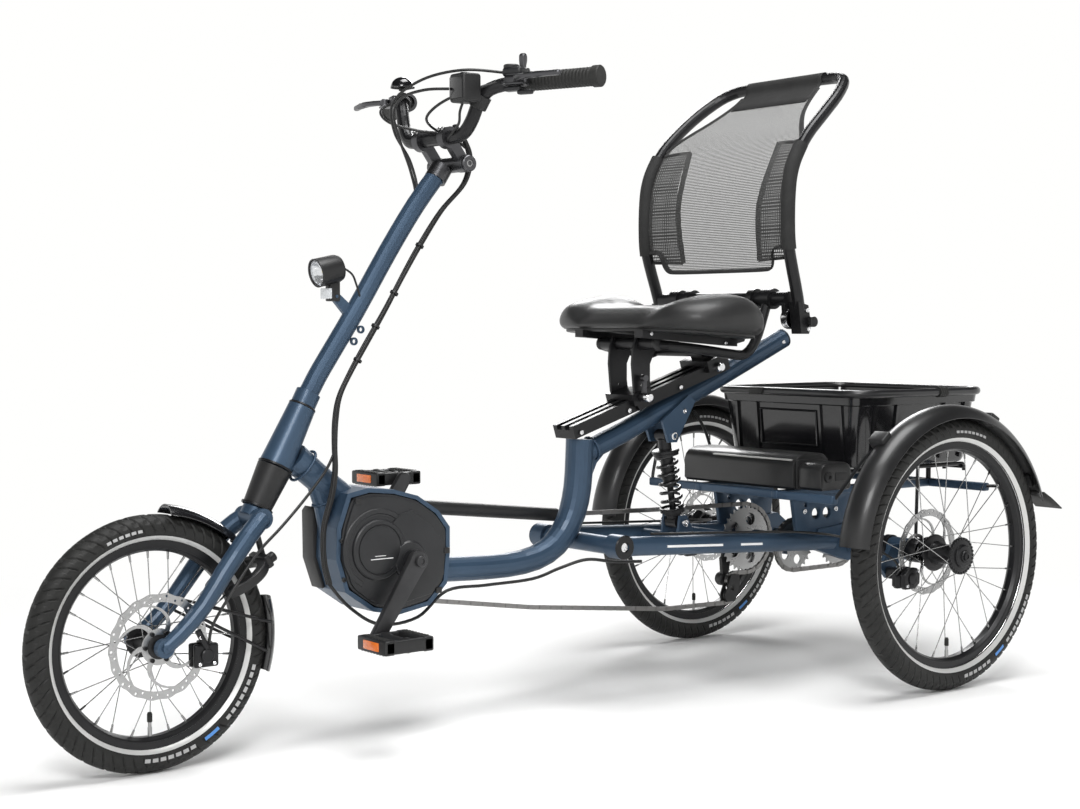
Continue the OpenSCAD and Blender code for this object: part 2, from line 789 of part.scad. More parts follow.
// Saddle blocks that ride on the rail, the two curved plates and the rear post
module seat_bracket() {
    color([0.16, 0.16, 0.17]) {
        for (y = [front_clamp_y - 26, rear_clamp_y - 22]) on_rail(y) {
            translate([-38, 0, rail_h + gap]) cube([76, 44, 10]);
            for (x = [-38, rail_w / 2 + gap]) translate([x, 0, 13]) cube([9.5, 44, rail_h - 5]);
        }
        both_sides() difference() {
            side_plate(seat_plate_x - 2.5, seat_plate_x + 2.5)
                polygon([[178, 516], [206, 530], [200, 570], [200, 600], [214, 628], [222, 650], [168, 650],
                    [160, 628], [158, 600], [162, 560], [166, 530]]);
            for (z = [548, 562]) cross_rod(20, 50, 181, z, 3);
        }
        side_plate(-16, 16) polygon([[350, 601], [388, 613], [392, 622], [340, 622]]);
        cross_rod(-120, 120, 352, 617, 6);
    }
    // Pin and head that the clamp lever turns on
    color("silver") {
        cross_rod(30, 54, seat_lever_pivot.y, seat_lever_pivot.z, seat_pin_r);
        cross_rod(52.6, 56, seat_lever_pivot.y, seat_lever_pivot.z, 7);
    }
}

// The cushion and its bearers are tilted back a little
cushion_tilt = -4;

module on_cushion() {
    translate([0, 250, 652]) rotate([cushion_tilt, 0, 0]) translate([0, -250, -652]) children();
}

module seat_frame() {
    color([0.12, 0.12, 0.13]) {
        cross_rod(-78, 78, front_tube_y, front_tube_z, 11);
        both_sides() {
            tube(smooth(rail_side_path, 2), 9, 16, [0.7, 0, -0.7]);
            cross_rod(112, 136, cross_tube.y, cross_tube.z, 19);
            cross_rod(78, 92, cross_tube.y, cross_tube.z, 19);
            side_plate(80, 90) polygon([[404, 712], [414, 706], [382, 640], [350, 633], [350, 641], [372, 648]]);
            side_plate(72, 94) polygon([[130, 648], [130, 661.5], [360, 645.5], [360, 631]]);
            difference() {
                union() {
                    cross_rod(158, 174, seat_pivot.y, seat_pivot.z, 19);
                    side_plate(160, 170) polygon([[405, 716], [425, 716], [442, 684], [408, 684]]);
                }
                cross_rod(140, 200, seat_pivot.y, seat_pivot.z, 6 + clearance);
            }
        }
        cross_rod(-172, 172, cross_tube.y, cross_tube.z, 13);
    }
}

cushion_front = 124;
cushion_back = 366;

module cushion_outline() {
    r = 90;
    x = cushion_w / 2 - r;
    hull() {
        for (s = [-1, 1]) {
            translate([s * x, cushion_front + r]) circle(r = r);
            translate([s * (x + 25), cushion_back - 65]) circle(r = 65);
        }
    }
}

module seat_cushion() {
    color([0.2, 0.2, 0.2]) on_cushion() intersection() {
        translate([0, 0, 640]) linear_extrude(120) cushion_outline();
        union() {
            side_plate(-cushion_w / 2, cushion_w / 2) polygon([[100, 654], [400, 654], [400, 700], [330, 704],
                [200, 706], [150, 700], [125, 686], [100, 664]]);
            both_sides() side_plate(118, cushion_w / 2) polygon([[150, 690], [190, 712], [240, 726], [300, 726],
                [350, 716], [400, 700], [400, 690]]);
        }
    }
}

module seat_clamp_lever() {
    color("silver") difference() {
        union() {
            cross_rod(40, 52, seat_lever_pivot.y, seat_lever_pivot.z, 8);
            translate([43, seat_lever_pivot.y - 4, seat_lever_pivot.z]) cube([6, 8, 34]);
            cross_rod(41, 51, seat_lever_pivot.y, seat_lever_pivot.z + 34, 6);
        }
        cross_rod(34, 60, seat_lever_pivot.y, seat_lever_pivot.z, seat_pin_r + clearance);
    }
}

module backrest_frame() {
    half = smooth(back_path, 3);
    other = [for (i = [len(half) - 2:-1:0]) [-half[i].x, half[i].y, half[i].z]];
    color([0.14, 0.14, 0.15]) {
        tube(concat(half, other), back_tube_r, 16, [0, 0.7, -0.7]);
        both_sides() {
            cross_rod(156, 196, seat_pivot.y, seat_pivot.z, 6);
            side_plate(175, 199) polygon([[410, 712], [436, 706], [444, 668], [438, 654], [418, 654]]);
            cross_rod(199, 212, 440, 676, 7);
        }
    }
}

// Mesh panel: a thin curved sheet that follows the backrest's tubes, open-weave on the real seat
mesh_line = [[402, 772], [392, 800], [386, 840], [386, 890], [396, 940], [418, 988], [450, 1028], [492, 1062],
    [540, 1098], [566, 1122]];
mesh_t = 3;

module backrest_mesh() {
    outline = concat(mesh_line, [for (i = [len(mesh_line) - 1:-1:0]) mesh_line[i] + [mesh_t, -1]]);
    color([0.6, 0.6, 0.58]) intersection() {
        side_plate(-back_half_w, back_half_w) polygon(outline);
        translate([0, 700, 0]) rotate([90, 0, 0]) linear_extrude(500) polygon([[-150, 760], [150, 760], [160, 800],
            [181, 806], [181, 1006], [110, 1060], [96, 1140], [-96, 1140], [-110, 1060], [-181, 1006], [-181, 806],
            [-160, 800]]);
    }
}

// ---------- suspension and rear end ----------

module arm_side() {
    difference() {
        union() {
            rod([arm_x, swing_pivot.y, swing_pivot.z], [arm_x, 600, 256], arm_r);
            cross_rod(arm_x - 16, arm_x + 16, swing_pivot.y, swing_pivot.z, arm_r + 4);
            side_plate(arm_x - 9, arm_x + 9) polygon([[556, 242], [640, 216], [684, 224], [690, 268], [660, 290],
                [556, 282]]);
            cross_rod(97, 282, rear_axle.y, rear_axle.z, 20.5);
            side_plate(240, 250) polygon([[600, 200], [640, 234], [640, 262], [612, 262], [578, 222]]);
        }
        cross_rod(60, 300, rear_axle.y, rear_axle.z, drive_shaft_r + clearance);
        cross_rod(60, 140, swing_pivot.y, swing_pivot.z, pivot_pin_r + clearance);
        cross_rod(60, arm_x - 16, swing_pivot.y, swing_pivot.z, 40);
    }
}

module swingarm() {
    color("steelblue") {
        both_sides() arm_side();
        cross_rod(-arm_x, arm_x, 300, 272, 12);
        cross_rod(-arm_x, arm_x, 420, 266, 13);
        both_sides() side_plate(19, 25) polygon([[276, 266], [284, 318], [300, 318], [330, 266]]);
        difference() {
            union() {
                side_plate(-12, 12) polygon([[414, 256], [414, 278], [520, 268], [550, 250], [520, 232]]);
                cross_rod(-34, 56, jack_axle.y, jack_axle.z, 20);
            }
            cross_rod(-60, 80, jack_axle.y, jack_axle.z, drive_shaft_r + clearance);
        }
    }
    color("silver") cross_rod(-28, 28, shock_low.y, shock_low.z, 4);
}

module rear_calipers() {
    color("black") both_sides() difference() {
        union() {
            translate([half_track - rear_rotor_x - 16, 574, 186]) cube([32, 46, 40]);
            translate([250, 590, 200]) cube([10, 24, 22]);
        }
        cross_rod(half_track - rear_rotor_x - 3, half_track - rear_rotor_x + 3, rear_axle.y, rear_axle.z, rotor_clear_r);
    }
}

deck_z = 392;
deck_r = 4;

module rack() {
    color("steelblue") {
        both_sides() {
            translate([96, 445, 346]) cube([16, 455, 16]);
            difference() {
                side_plate(99, 109) polygon([[505, 270], [640, 262], [655, 350], [490, 350]]);
                side_plate(90, 120) polygon([[545, 300], [600, 300], [600, 326], [545, 326]]);
            }
        }
        for (y = [448, 878]) translate([-250, y, 346]) cube([500, 16, 16]);
    }
    color("black") {
        for (x = [-150:50:150]) rod([x, 566, deck_z], [x, 940, deck_z], deck_r);
        for (y = [570, 750, 930]) rod([-158, y, deck_z - 5], [158, y, deck_z - 5], deck_r);
        for (x = [-104, 104]) for (y = [572, 748, 886]) rod([x, y, 361], [x, y, deck_z], deck_r + 1);
    }
}

battery_x = [-150, 212];

module battery() {
    color([0.1, 0.1, 0.1]) side_plate(battery_x[0], battery_x[1] - 62) polygon([[452, 368], [452, 412], [460, 424],
        [474, 431], [530, 431], [544, 422], [548, 408], [548, 368], [540, 364.5], [460, 364.5]]);
    color([0.15, 0.15, 0.15]) side_plate(battery_x[1] - 62, battery_x[1]) polygon([[458, 370], [458, 408],
        [468, 418], [530, 418], [540, 408], [540, 370], [534, 366.5], [464, 366.5]]);
}

crate_wall = 4;
rim_tube_r = 8;

// Crate: a tapered box with an open top and a round rim tube
module crate() {
    half = crate_w / 2 - rim_tube_r;
    y0 = crate_front_y + rim_tube_r;
    y1 = crate_front_y + crate_len - rim_tube_r;
    z = crate_top_z - rim_tube_r;
    floor_z = crate_top_z - crate_h - rim_tube_r;
    color([0.08, 0.08, 0.08]) {
        difference() {
            hull() {
                translate([-half + 6, y0 + 6, z - 1]) cube([2 * half - 12, y1 - y0 - 12, 5]);
                translate([-half + 28, y0 + 24, floor_z]) cube([2 * half - 56, y1 - y0 - 48, 1]);
            }
            hull() {
                translate([-half + 10, y0 + 10, z + 1]) cube([2 * half - 20, y1 - y0 - 20, 5]);
                translate([-half + 32, y0 + 28, floor_z + crate_wall]) cube([2 * half - 64, y1 - y0 - 56, 1]);
            }
        }
        for (y = [y0, y1]) rod([-half, y, z], [half, y, z], rim_tube_r);
        for (x = [-half, half]) {
            rod([x, y0, z], [x, y1, z], rim_tube_r);
            for (y = [y0, y1]) translate([x, y, z]) sphere(r = rim_tube_r + 0.1);
        }
    }
}

flap_tip = 959.5;

module rear_fenders() {
    color([0.1, 0.1, 0.1]) both_sides() translate([half_track, 0, 0]) {
        fender_arc(rear_axle, 238, 37, 14, 20, 173);
        side_plate(-24, 24) polygon([[906, 352], [916, 352], [flap_tip, 322], [flap_tip, 318], [914, 342]]);
        rod([-30, 905, 350], [-94, 886, 356], 4);
        rod([-34, 520, 460], [-94, 457, 356], 4);
    }
}

module derailleur() {
    color("black") difference() {
        union() {
            cross_rod(-89, -78, upper_pulley.y, upper_pulley.z, 11);
            side_plate(-88, -80) polygon([[494, 166], [490, 212], [532, 246], [570, 240], [566, 222], [540, 216],
                [512, 200], [506, 166]]);
            cross_rod(-98, -80, 562, 232, 7);
        }
        cross_rod(-100, ring_x, upper_pulley.y, upper_pulley.z, 4 + clearance);
        cross_rod(-92, -70, jack_axle.y, jack_axle.z, 12);
    }
}

module derailleur_cage() {
    color("dimgray") {
        cross_rod(ring_x - 28, ring_x + 6, upper_pulley.y, upper_pulley.z, 4);
        for (x = [ring_x - 8, ring_x + 6]) difference() {
            side_plate(x, x + 2) polygon([[490, 182], [510, 182], [512, 160], [500, 130], [476, 130], [474, 146]]);
            cross_rod(x - 1, x + 3, 493, 156, 5);
        }
        cross_rod(ring_x - 8, ring_x + 8, lower_pulley.y, lower_pulley.z, 4);
        for (p = [upper_pulley, lower_pulley]) cross_rod(ring_x - 1.5, ring_x + 1.5, p.y, p.z, pulley_r);
    }
}

// First chain: over the chainring, back to the cogs, down round the two guide pulleys and forward again
function chain_one() = concat(
    [[ring_x, 536, jack_axle.z + cog_r + chain_rise], [ring_x, 300, 322], [ring_x, 57, 328.5], [ring_x, -246, 362.5]],
    side_arc(crank_axle, chainring_r + chain_rise, 84, 278, 18, ring_x),
    [[ring_x, 0, 166], [ring_x, 322, 131]],
    side_arc(lower_pulley, pulley_r + chain_rise, 262, 400, 8, ring_x),
    side_arc(upper_pulley, pulley_r + chain_rise, 230, 84, 8, ring_x),
    side_arc(jack_axle, cog_r + chain_rise, -96, 86, 18, ring_x));

function chain_two() = concat(
    side_arc(rear_axle, cog2_r + chain_rise, -90, 90, 12, chain2_x),
    side_arc(jack_axle, cog2_r + chain_rise, 90, 268, 12, chain2_x));

module drive_chains() {
    color("silver") {
        tube(chain_one(), chain_r, 8);
        tube(concat(chain_two(), [[chain2_x, 655, rear_axle.z - cog2_r - chain_rise]]), chain_r, 8);
    }
}

module jackshaft() {
    color("silver") {
        cross_rod(ring_x - 22, chain2_x + 6, jack_axle.y, jack_axle.z, 8);
        for (i = [0:3]) cross_rod(ring_x - 1.2 - 5 * i, ring_x + 1.2 - 5 * i, jack_axle.y, jack_axle.z, cog_r - 9 * i);
        cross_rod(chain2_x - 1.5, chain2_x + 1.5, jack_axle.y, jack_axle.z, cog2_r);
    }
}

// Places children on the shock absorber: origin at its top eye, -Z towards its lower eye
module on_shock() {
    translate(shock_top) rotate([shock_tilt, 0, 0]) children();
}

module shock_body() {
    color("black") difference() {
        on_shock() {
            rotate([0, 90, 0]) translate([0, 0, -14]) cylinder(h = 28, r = 11);
            translate([0, 0, -26]) cylinder(h = 20, r = 12);
            difference() {
                translate([0, 0, -96]) cylinder(h = 72, r = 12);
                translate([0, 0, -110]) cylinder(h = 78, r = 6 + clearance);
            }
            translate([0, 0, -32]) cylinder(h = 5, r = 24);
        }
        cross_rod(-30, 30, shock_top.y, shock_top.z, 4 + clearance);
    }
}

module shock_shaft() {
    color("dimgray") difference() {
        on_shock() {
            translate([0, 0, -shock_len + 8]) cylinder(h = shock_len - 72, r = 6);
            translate([0, 0, -shock_len + 8]) cylinder(h = 14, r = 13);
            translate([0, 0, -shock_len + 20]) cylinder(h = 5, r = 24);
            translate([0, 0, -shock_len]) rotate([0, 90, 0]) translate([0, 0, -14]) cylinder(h = 28, r = 12);
        }
        cross_rod(-30, 30, shock_low.y, shock_low.z, 5.5);
    }
}

spring_turns = 6;

module shock_spring() {
    low = -shock_len + 29;
    high = -36.5;
    steps = 14;
    path = [for (i = [0:spring_turns * steps]) let (a = 360 * i / steps, t = i / (spring_turns * steps))
        [18.5 * cos(a), 18.5 * sin(a), low + (high - low) * t]];
    color("dimgray") on_shock() tube(path, 3, 8, [0, 0, 1]);
}

main_frame();
motor_unit();
chain_guard_tube();
seat_rail();
head_bearings();
fork();
steering_column();
headset_cone();
front_fender();
front_caliper();
ring_lock();
lock_shackle();
stem_base();
control_cables();
handlebar();
stem_clamp();
grips();
brake_housings();
display_pod();
bell();
brake_lever_left();
brake_lever_right();
shift_lever();
bell_lever();
pod_button();
headlight();
front_tyre();
front_rim();
front_hub();
front_rotor();
left_tyre();
left_rim();
left_hub();
left_rotor();
right_tyre();
right_rim();
right_hub();
right_rotor();
crank_set();
pedal_left();
pedal_right();
seat_bracket();
seat_frame();
seat_cushion();
seat_clamp_lever();
backrest_frame();
backrest_mesh();
swingarm();
rack();
crate();
rear_fenders();
rear_calipers();
derailleur();
derailleur_cage();
drive_chains();
battery();
jackshaft();
shock_body();
shock_shaft();
shock_spring();
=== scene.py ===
"""Adult tricycle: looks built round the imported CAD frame.
Metres; X is the rider's left, Y points to the back, Z is up."""

import math

import bmesh
import bpy
from mathutils import Matrix, Vector


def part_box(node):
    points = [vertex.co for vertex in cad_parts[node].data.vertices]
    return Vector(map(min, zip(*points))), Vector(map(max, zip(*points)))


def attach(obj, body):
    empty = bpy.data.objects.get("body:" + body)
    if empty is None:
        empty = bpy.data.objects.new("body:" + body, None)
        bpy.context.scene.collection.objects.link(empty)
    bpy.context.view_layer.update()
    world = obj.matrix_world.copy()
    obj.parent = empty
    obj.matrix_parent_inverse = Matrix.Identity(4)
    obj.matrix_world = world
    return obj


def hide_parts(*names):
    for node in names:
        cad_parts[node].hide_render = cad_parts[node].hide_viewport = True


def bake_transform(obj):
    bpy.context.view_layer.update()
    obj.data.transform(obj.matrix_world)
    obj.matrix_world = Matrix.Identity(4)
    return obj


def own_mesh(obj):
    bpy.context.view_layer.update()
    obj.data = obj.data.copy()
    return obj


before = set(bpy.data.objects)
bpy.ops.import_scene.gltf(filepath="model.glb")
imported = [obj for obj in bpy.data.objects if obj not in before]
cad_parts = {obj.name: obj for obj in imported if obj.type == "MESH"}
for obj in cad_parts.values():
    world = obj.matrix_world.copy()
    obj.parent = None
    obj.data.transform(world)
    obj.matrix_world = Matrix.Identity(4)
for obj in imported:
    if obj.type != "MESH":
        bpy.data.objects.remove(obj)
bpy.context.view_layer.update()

TAU = 2 * math.pi


# ---------- materials ----------

def make_material(name, colour, roughness, metallic=0.0, coat=0.0, sheen=0.0, specular=0.5, alpha=1.0):
    """Plain shader material."""
    mat = bpy.data.materials.new(name)
    mat.use_nodes = True
    shader = mat.node_tree.nodes["Principled BSDF"]
    for socket, value in (("Base Color", (*colour, 1.0)), ("Roughness", roughness), ("Metallic", metallic),
                          ("Coat Weight", coat), ("Coat Roughness", 0.12), ("Sheen Weight", sheen),
                          ("Sheen Roughness", 0.5), ("Specular IOR Level", specular), ("Alpha", alpha),
                          ("IOR", 1.45)):
        shader.inputs[socket].default_value = value
    return mat


def node(owner, kind, **values):
    """New shader node in a material or world; values are its settings or its inputs."""
    made = owner.node_tree.nodes.new(kind)
    for key, value in values.items():
        if hasattr(made, key):
            setattr(made, key, value)
        else:
            made.inputs[key.replace("_", " ")].default_value = value
    return made


def link(owner, a, b):
    """Joins two sockets."""
    owner.node_tree.links.new(a, b)


def split_axes(owner, kind):
    """X, Y and Z of the object, UV or generated coordinates."""
    parts = node(owner, "ShaderNodeSeparateXYZ")
    link(owner, node(owner, "ShaderNodeTexCoord").outputs[kind], parts.inputs["Vector"])
    return parts.outputs


def maths(owner, kind, a, b=None):
    """One sum on one or two values, each a socket or a number."""
    made = node(owner, "ShaderNodeMath", operation=kind)
    for socket, value in zip(made.inputs, (a, b)):
        if isinstance(value, (int, float)):
            socket.default_value = value
        elif value is not None:
            link(owner, value, socket)
    return made.outputs[0]


def map_range(owner, value, low, high, to_low, to_high, shape="LINEAR"):
    """Value moved from one range to another."""
    made = node(owner, "ShaderNodeMapRange", interpolation_type=shape, From_Min=low, From_Max=high,
                To_Min=to_low, To_Max=to_high)
    link(owner, value, made.inputs["Value"])
    return made.outputs["Result"]


def object_coordinates(mat):
    """Coordinates that stay with the object."""
    return node(mat, "ShaderNodeTexCoord").outputs["Object"]


def noise_height(mat, scale, detail=3.0, roughness=0.55):
    """Soft noise over the surface."""
    noise = node(mat, "ShaderNodeTexNoise", Scale=scale, Detail=detail, Roughness=roughness)
    link(mat, object_coordinates(mat), noise.inputs["Vector"])
    return noise.outputs["Fac"]


def cell_height(mat, scale, feature="F1"):
    """Cell pattern over the surface."""
    cells = node(mat, "ShaderNodeTexVoronoi", Scale=scale, feature=feature)
    link(mat, object_coordinates(mat), cells.inputs["Vector"])
    return cells.outputs["Distance"]


def add_mottle(mat, dark, light, scale):
    """Slow variation of colour over the surface."""
    ramp = node(mat, "ShaderNodeValToRGB")
    for element, place, colour in zip(ramp.color_ramp.elements, (0.3, 0.7), (dark, light)):
        element.position = place
        element.color = (*colour, 1)
    link(mat, noise_height(mat, scale, 6.0, roughness=0.6), ramp.inputs["Fac"])
    link(mat, ramp.outputs["Color"], mat.node_tree.nodes["Principled BSDF"].inputs["Base Color"])


def add_roughness(mat, low, high, scale):
    """Roughness that varies, as finger marks and dust make it."""
    noise = noise_height(mat, scale, 5.0, 0.6)
    link(mat, map_range(mat, noise, 0.0, 1.0, low, high),
         mat.node_tree.nodes["Principled BSDF"].inputs["Roughness"])


def add_bump(mat, height, strength, distance=0.001):
    """Adds a bump on top of any bump the material has already."""
    normal = mat.node_tree.nodes["Principled BSDF"].inputs["Normal"]
    bump = node(mat, "ShaderNodeBump", Strength=strength, Distance=distance)
    link(mat, height, bump.inputs["Height"])
    if normal.is_linked:
        link(mat, normal.links[0].from_socket, bump.inputs["Normal"])
    link(mat, bump.outputs["Normal"], normal)


def paint_blue():
    """Satin blue frame paint."""
    mat = make_material("blue_paint", (0.038, 0.069, 0.115), 0.40, metallic=0.4, coat=0.12)
    add_mottle(mat, (0.033, 0.061, 0.102), (0.043, 0.078, 0.128), 6.0)
    add_roughness(mat, 0.36, 0.5, 30.0)
    add_bump(mat, noise_height(mat, 900.0), 0.08, 0.0002)
    return mat


def weld_blue():
    """The same paint over a rippled weld."""
    mat = make_material("blue_weld", (0.036, 0.066, 0.11), 0.45, metallic=0.35, coat=0.12)
    add_bump(mat, noise_height(mat, 260.0, 2.0), 0.5, 0.0006)
    return mat


def metal(name, colour, rough):
    """Bare metal."""
    mat = make_material(name, colour, rough, metallic=1.0)
    add_roughness(mat, rough * 0.75, rough * 1.3, 60.0)
    add_bump(mat, noise_height(mat, 400.0, 2.0), 0.06, 0.0002)
    return mat


def black(name, colour, rough, metallic=0.0, coat=0.0, grain=500.0, bump=0.15, specular=0.5):
    """Black finish with a slight mottle and grain."""
    mat = make_material(name, colour, rough, metallic=metallic, coat=coat, specular=specular)
    add_mottle(mat, tuple(c * 0.8 for c in colour), tuple(c * 1.25 for c in colour), 14.0)
    add_roughness(mat, rough * 0.82, min(1.0, rough * 1.2), 40.0)
    add_bump(mat, noise_height(mat, grain, 2.0), bump, 0.0003)
    return mat


MAT = {
    "blue": paint_blue(),
    "weld": weld_blue(),
    "black_metal": black("black_metal", (0.011, 0.011, 0.012), 0.34, metallic=0.3, grain=700.0, bump=0.1),
    "black_plastic": black("black_plastic", (0.012, 0.012, 0.0125), 0.44, grain=900.0, bump=0.25),
    "dark_plastic": black("dark_plastic", (0.016, 0.0165, 0.018), 0.4, grain=900.0, bump=0.2),
    "gloss_black": black("gloss_black", (0.008, 0.008, 0.009), 0.16, coat=0.5, grain=200.0, bump=0.03),
    "rubber": black("black_rubber", (0.013, 0.013, 0.012), 0.6, grain=800.0, bump=0.25),
    "cable": black("cable_sheath", (0.012, 0.012, 0.012), 0.4, grain=900.0, bump=0.1),
    "alloy": metal("polished_alloy", (0.78, 0.78, 0.79), 0.2),
    "grey_alloy": metal("grey_alloy", (0.10, 0.10, 0.105), 0.38),
    "steel": metal("brushed_steel", (0.4, 0.4, 0.4), 0.28),
    "chain": metal("chain_steel", (0.25, 0.245, 0.24), 0.34),
    "spoke": metal("spoke_steel", (0.36, 0.36, 0.36), 0.26),
    "white": make_material("white_mark", (0.8, 0.8, 0.8), 0.45),
}


MAT["amber"] = make_material("amber_reflector", (0.75, 0.16, 0.01), 0.18, coat=0.6)
add_bump(MAT["amber"], cell_height(MAT["amber"], 700.0), 0.5, 0.0006)


# ---------- mesh helpers ----------

def finish_mesh(name, bm, mat, body, smooth_angle=35.0):
    """Turns a bmesh into an object with its materials, smooth shading and body."""
    mesh = bpy.data.meshes.new(name)
    bmesh.ops.recalc_face_normals(bm, faces=bm.faces)
    bm.to_mesh(mesh)
    bm.free()
    mats = mat if isinstance(mat, (list, tuple)) else [mat]
    for m in mats:
        mesh.materials.append(MAT[m] if isinstance(m, str) else m)
    for poly in mesh.polygons:
        poly.use_smooth = True
    mesh.set_sharp_from_angle(angle=math.radians(smooth_angle))
    obj = bpy.data.objects.new(name, mesh)
    bpy.context.collection.objects.link(obj)
    if body:
        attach(obj, body)
    return obj


def mm(x, y, z):
    """Point given in millimetres."""
    return Vector((x, y, z)) / 1000


def outline_mm(*points):
    """Flat outline given in millimetres."""
    return [(x / 1000, y / 1000) for x, y in points]


def circle(r, count, centre=(0.0, 0.0)):
    """Points round a circle in a plate's own plane."""
    return [(centre[0] + r * math.cos(TAU * k / count), centre[1] + r * math.sin(TAU * k / count))
            for k in range(count)]


def off_axle(centre, x, r, angle):
    """Point at a radius and an angle round a cross axle, x to one side of its middle."""
    return Vector(centre) + Vector((x, r * math.cos(angle), r * math.sin(angle)))


def skin(bm, rings):
    """Faces between closed rings of points."""
    for a, b in zip(rings, rings[1:]):
        for k in range(len(a)):
            k2 = (k + 1) % len(a)
            bm.faces.new((a[k], a[k2], b[k2], b[k]))


def catmull(points, steps=6):
    """Smooth curve through the points."""
    pts = [Vector(p) for p in points]
    out = []
    for i in range(len(pts) - 1):
        a, b = pts[max(i - 1, 0)], pts[i]
        c, d = pts[i + 1], pts[min(i + 2, len(pts) - 1)]
        for k in range(steps):
            t = k / steps
            out.append(0.5 * (2 * b + (c - a) * t + (2 * a - 5 * b + 4 * c - d) * t * t
                              + (3 * b - a - 3 * c + d) * t ** 3))
    out.append(pts[-1])
    return out


def smooth_path(points, steps=6):
    """Smooth curve through points given in millimetres."""
    return catmull([mm(*p) for p in points], steps)


def sweep(bm, path, radius, sides=20, closed=False, squash=1.0):
    """Round tube along a path, with a parallel-carried frame; radius is one number or one to each point."""
    pts = [Vector(p) for p in path]
    count = len(pts)
    tangents = []
    for i in range(count):
        if closed:
            d = pts[(i + 1) % count] - pts[i - 1]
        else:
            d = pts[min(i + 1, count - 1)] - pts[max(i - 1, 0)]
        tangents.append(d.normalized())
    side = tangents[0].orthogonal().normalized()
    rings = []
    for i in range(count):
        side = (side - tangents[i] * side.dot(tangents[i])).normalized()
        up = tangents[i].cross(side)
        r = radius[i] if isinstance(radius, (list, tuple)) else radius
        turns = [TAU * k / sides for k in range(sides)]
        spokes = [math.cos(a) * side + squash * math.sin(a) * up for a in turns]
        rings.append([bm.verts.new(pts[i] + r * spoke) for spoke in spokes])
    skin(bm, rings + rings[:1] if closed else rings)
    if not closed:
        bm.faces.new(rings[0][::-1])
        bm.faces.new(rings[-1])


def frame_of(axis):
    """Rotation that turns Z to the axis."""
    return Vector((0, 0, 1)).rotation_difference(Vector(axis)).to_matrix().to_4x4()


def lathe(bm, profile, origin=(0, 0, 0), axis=(0, 0, 1), segments=48, arc=None, mat_index=0):
    """Turns (radius, height) points about an axis."""
    turn = Matrix.Translation(origin) @ frame_of(axis)
    full = arc is None
    a0, a1 = arc if arc else (0, TAU)
    steps = segments if full else segments + 1
    rings = []
    for r, h in profile:
        if r < 1e-7:
            rings.append([bm.verts.new(turn @ Vector((0, 0, h)))])
            continue
        rings.append([bm.verts.new(turn @ Vector((r * math.cos(a0 + (a1 - a0) * k / segments),
                                                   r * math.sin(a0 + (a1 - a0) * k / segments), h)))
                      for k in range(steps)])
    for a, b in zip(rings, rings[1:]):
        for k in range(segments):
            k2 = (k + 1) % segments if full else k + 1
            quad = [a[k % len(a)], a[k2 % len(a)], b[k2 % len(b)], b[k % len(b)]]
            quad = [v for i, v in enumerate(quad) if v not in quad[:i]]
            if len(quad) > 2:
                bm.faces.new(quad).material_index = mat_index
    return rings


def collar(bm, inner, outer, half, origin, axis, segments=24):
    """Plain ring, open inside, half as long each way as the half given."""
    lathe(bm, [(inner, -half), (outer, -half), (outer, half), (inner, half)], origin, axis, segments)


def turned(name, profile, origin, axis, mat, body, segments=48):
    """A lathe() shape as an object of its own."""
    bm = bmesh.new()
    lathe(bm, profile, origin, axis, segments)
    return finish_mesh(name, bm, mat, body)


def box(bm, low, high, bevel=0.0, segments=2, turn=None):
    """Box with rounded edges."""
    low, high = Vector(low), Vector(high)
    verts = bmesh.ops.create_cube(bm, size=1.0)["verts"]
    for v in verts:
        v.co = Vector([low[i] + (v.co[i] + 0.5) * (high[i] - low[i]) for i in range(3)])
    if bevel > 0:
        edges = list({e for v in verts for e in v.link_edges})
        done = bmesh.ops.bevel(bm, geom=edges, offset=bevel, segments=segments, affect="EDGES", profile=0.5)
        verts = list({v for f in done["faces"] for v in f.verts} | {v for v in verts if v.is_valid})
    if turn is not None:
        bmesh.ops.transform(bm, matrix=turn, verts=[v for v in verts if v.is_valid])


def plate(bm, outline, thickness, place, bevel=0.0, holes=(), loops=()):
    """Flat plate from an outline in its own XY plane, centred on Z, put in place by a matrix.
    Holes are (x, y, r), and loops are openings given point by point."""
    verts, edges = [], []
    for points in [outline] + [circle(r, 24, (x, y)) for x, y, r in holes] + list(loops):
        made = [bm.verts.new((x, y, -thickness / 2)) for x, y in points]
        verts += made
        edges += [bm.edges.new((made[i], made[(i + 1) % len(made)])) for i in range(len(made))]
    filled = bmesh.ops.triangle_fill(bm, edges=edges, use_beauty=True, use_dissolve=False)
    faces = [g for g in filled["geom"] if isinstance(g, bmesh.types.BMFace)]
    pushed = bmesh.ops.extrude_face_region(bm, geom=faces)
    top = [g for g in pushed["geom"] if isinstance(g, bmesh.types.BMVert)]
    bmesh.ops.translate(bm, verts=top, vec=(0, 0, thickness))
    every = list(set(verts) | set(top))
    if bevel > 0:
        rim = [e for e in {e for v in every for e in v.link_edges} if len(e.link_faces) == 2
               and e.calc_face_angle(0) > 0.9]
        done = bmesh.ops.bevel(bm, geom=rim, offset=bevel, segments=2, affect="EDGES", profile=0.5)
        every = list({v for v in every if v.is_valid} | {v for f in done["faces"] for v in f.verts})
    bmesh.ops.transform(bm, matrix=place, verts=every)


def side_matrix(x):
    """Own X to world Y, own Y to world Z, own Z to world X, at distance x."""
    return Matrix(((0, 0, 1, x), (1, 0, 0, 0), (0, 1, 0, 0), (0, 0, 0, 1)))


def side_place(centre):
    """side_matrix() with its origin at a point."""
    place = side_matrix(0)
    place.translation = Vector(centre)
    return place


def rod(bm, a, b, r, sides=12):
    """Straight round bar."""
    sweep(bm, [a, b], r, sides)


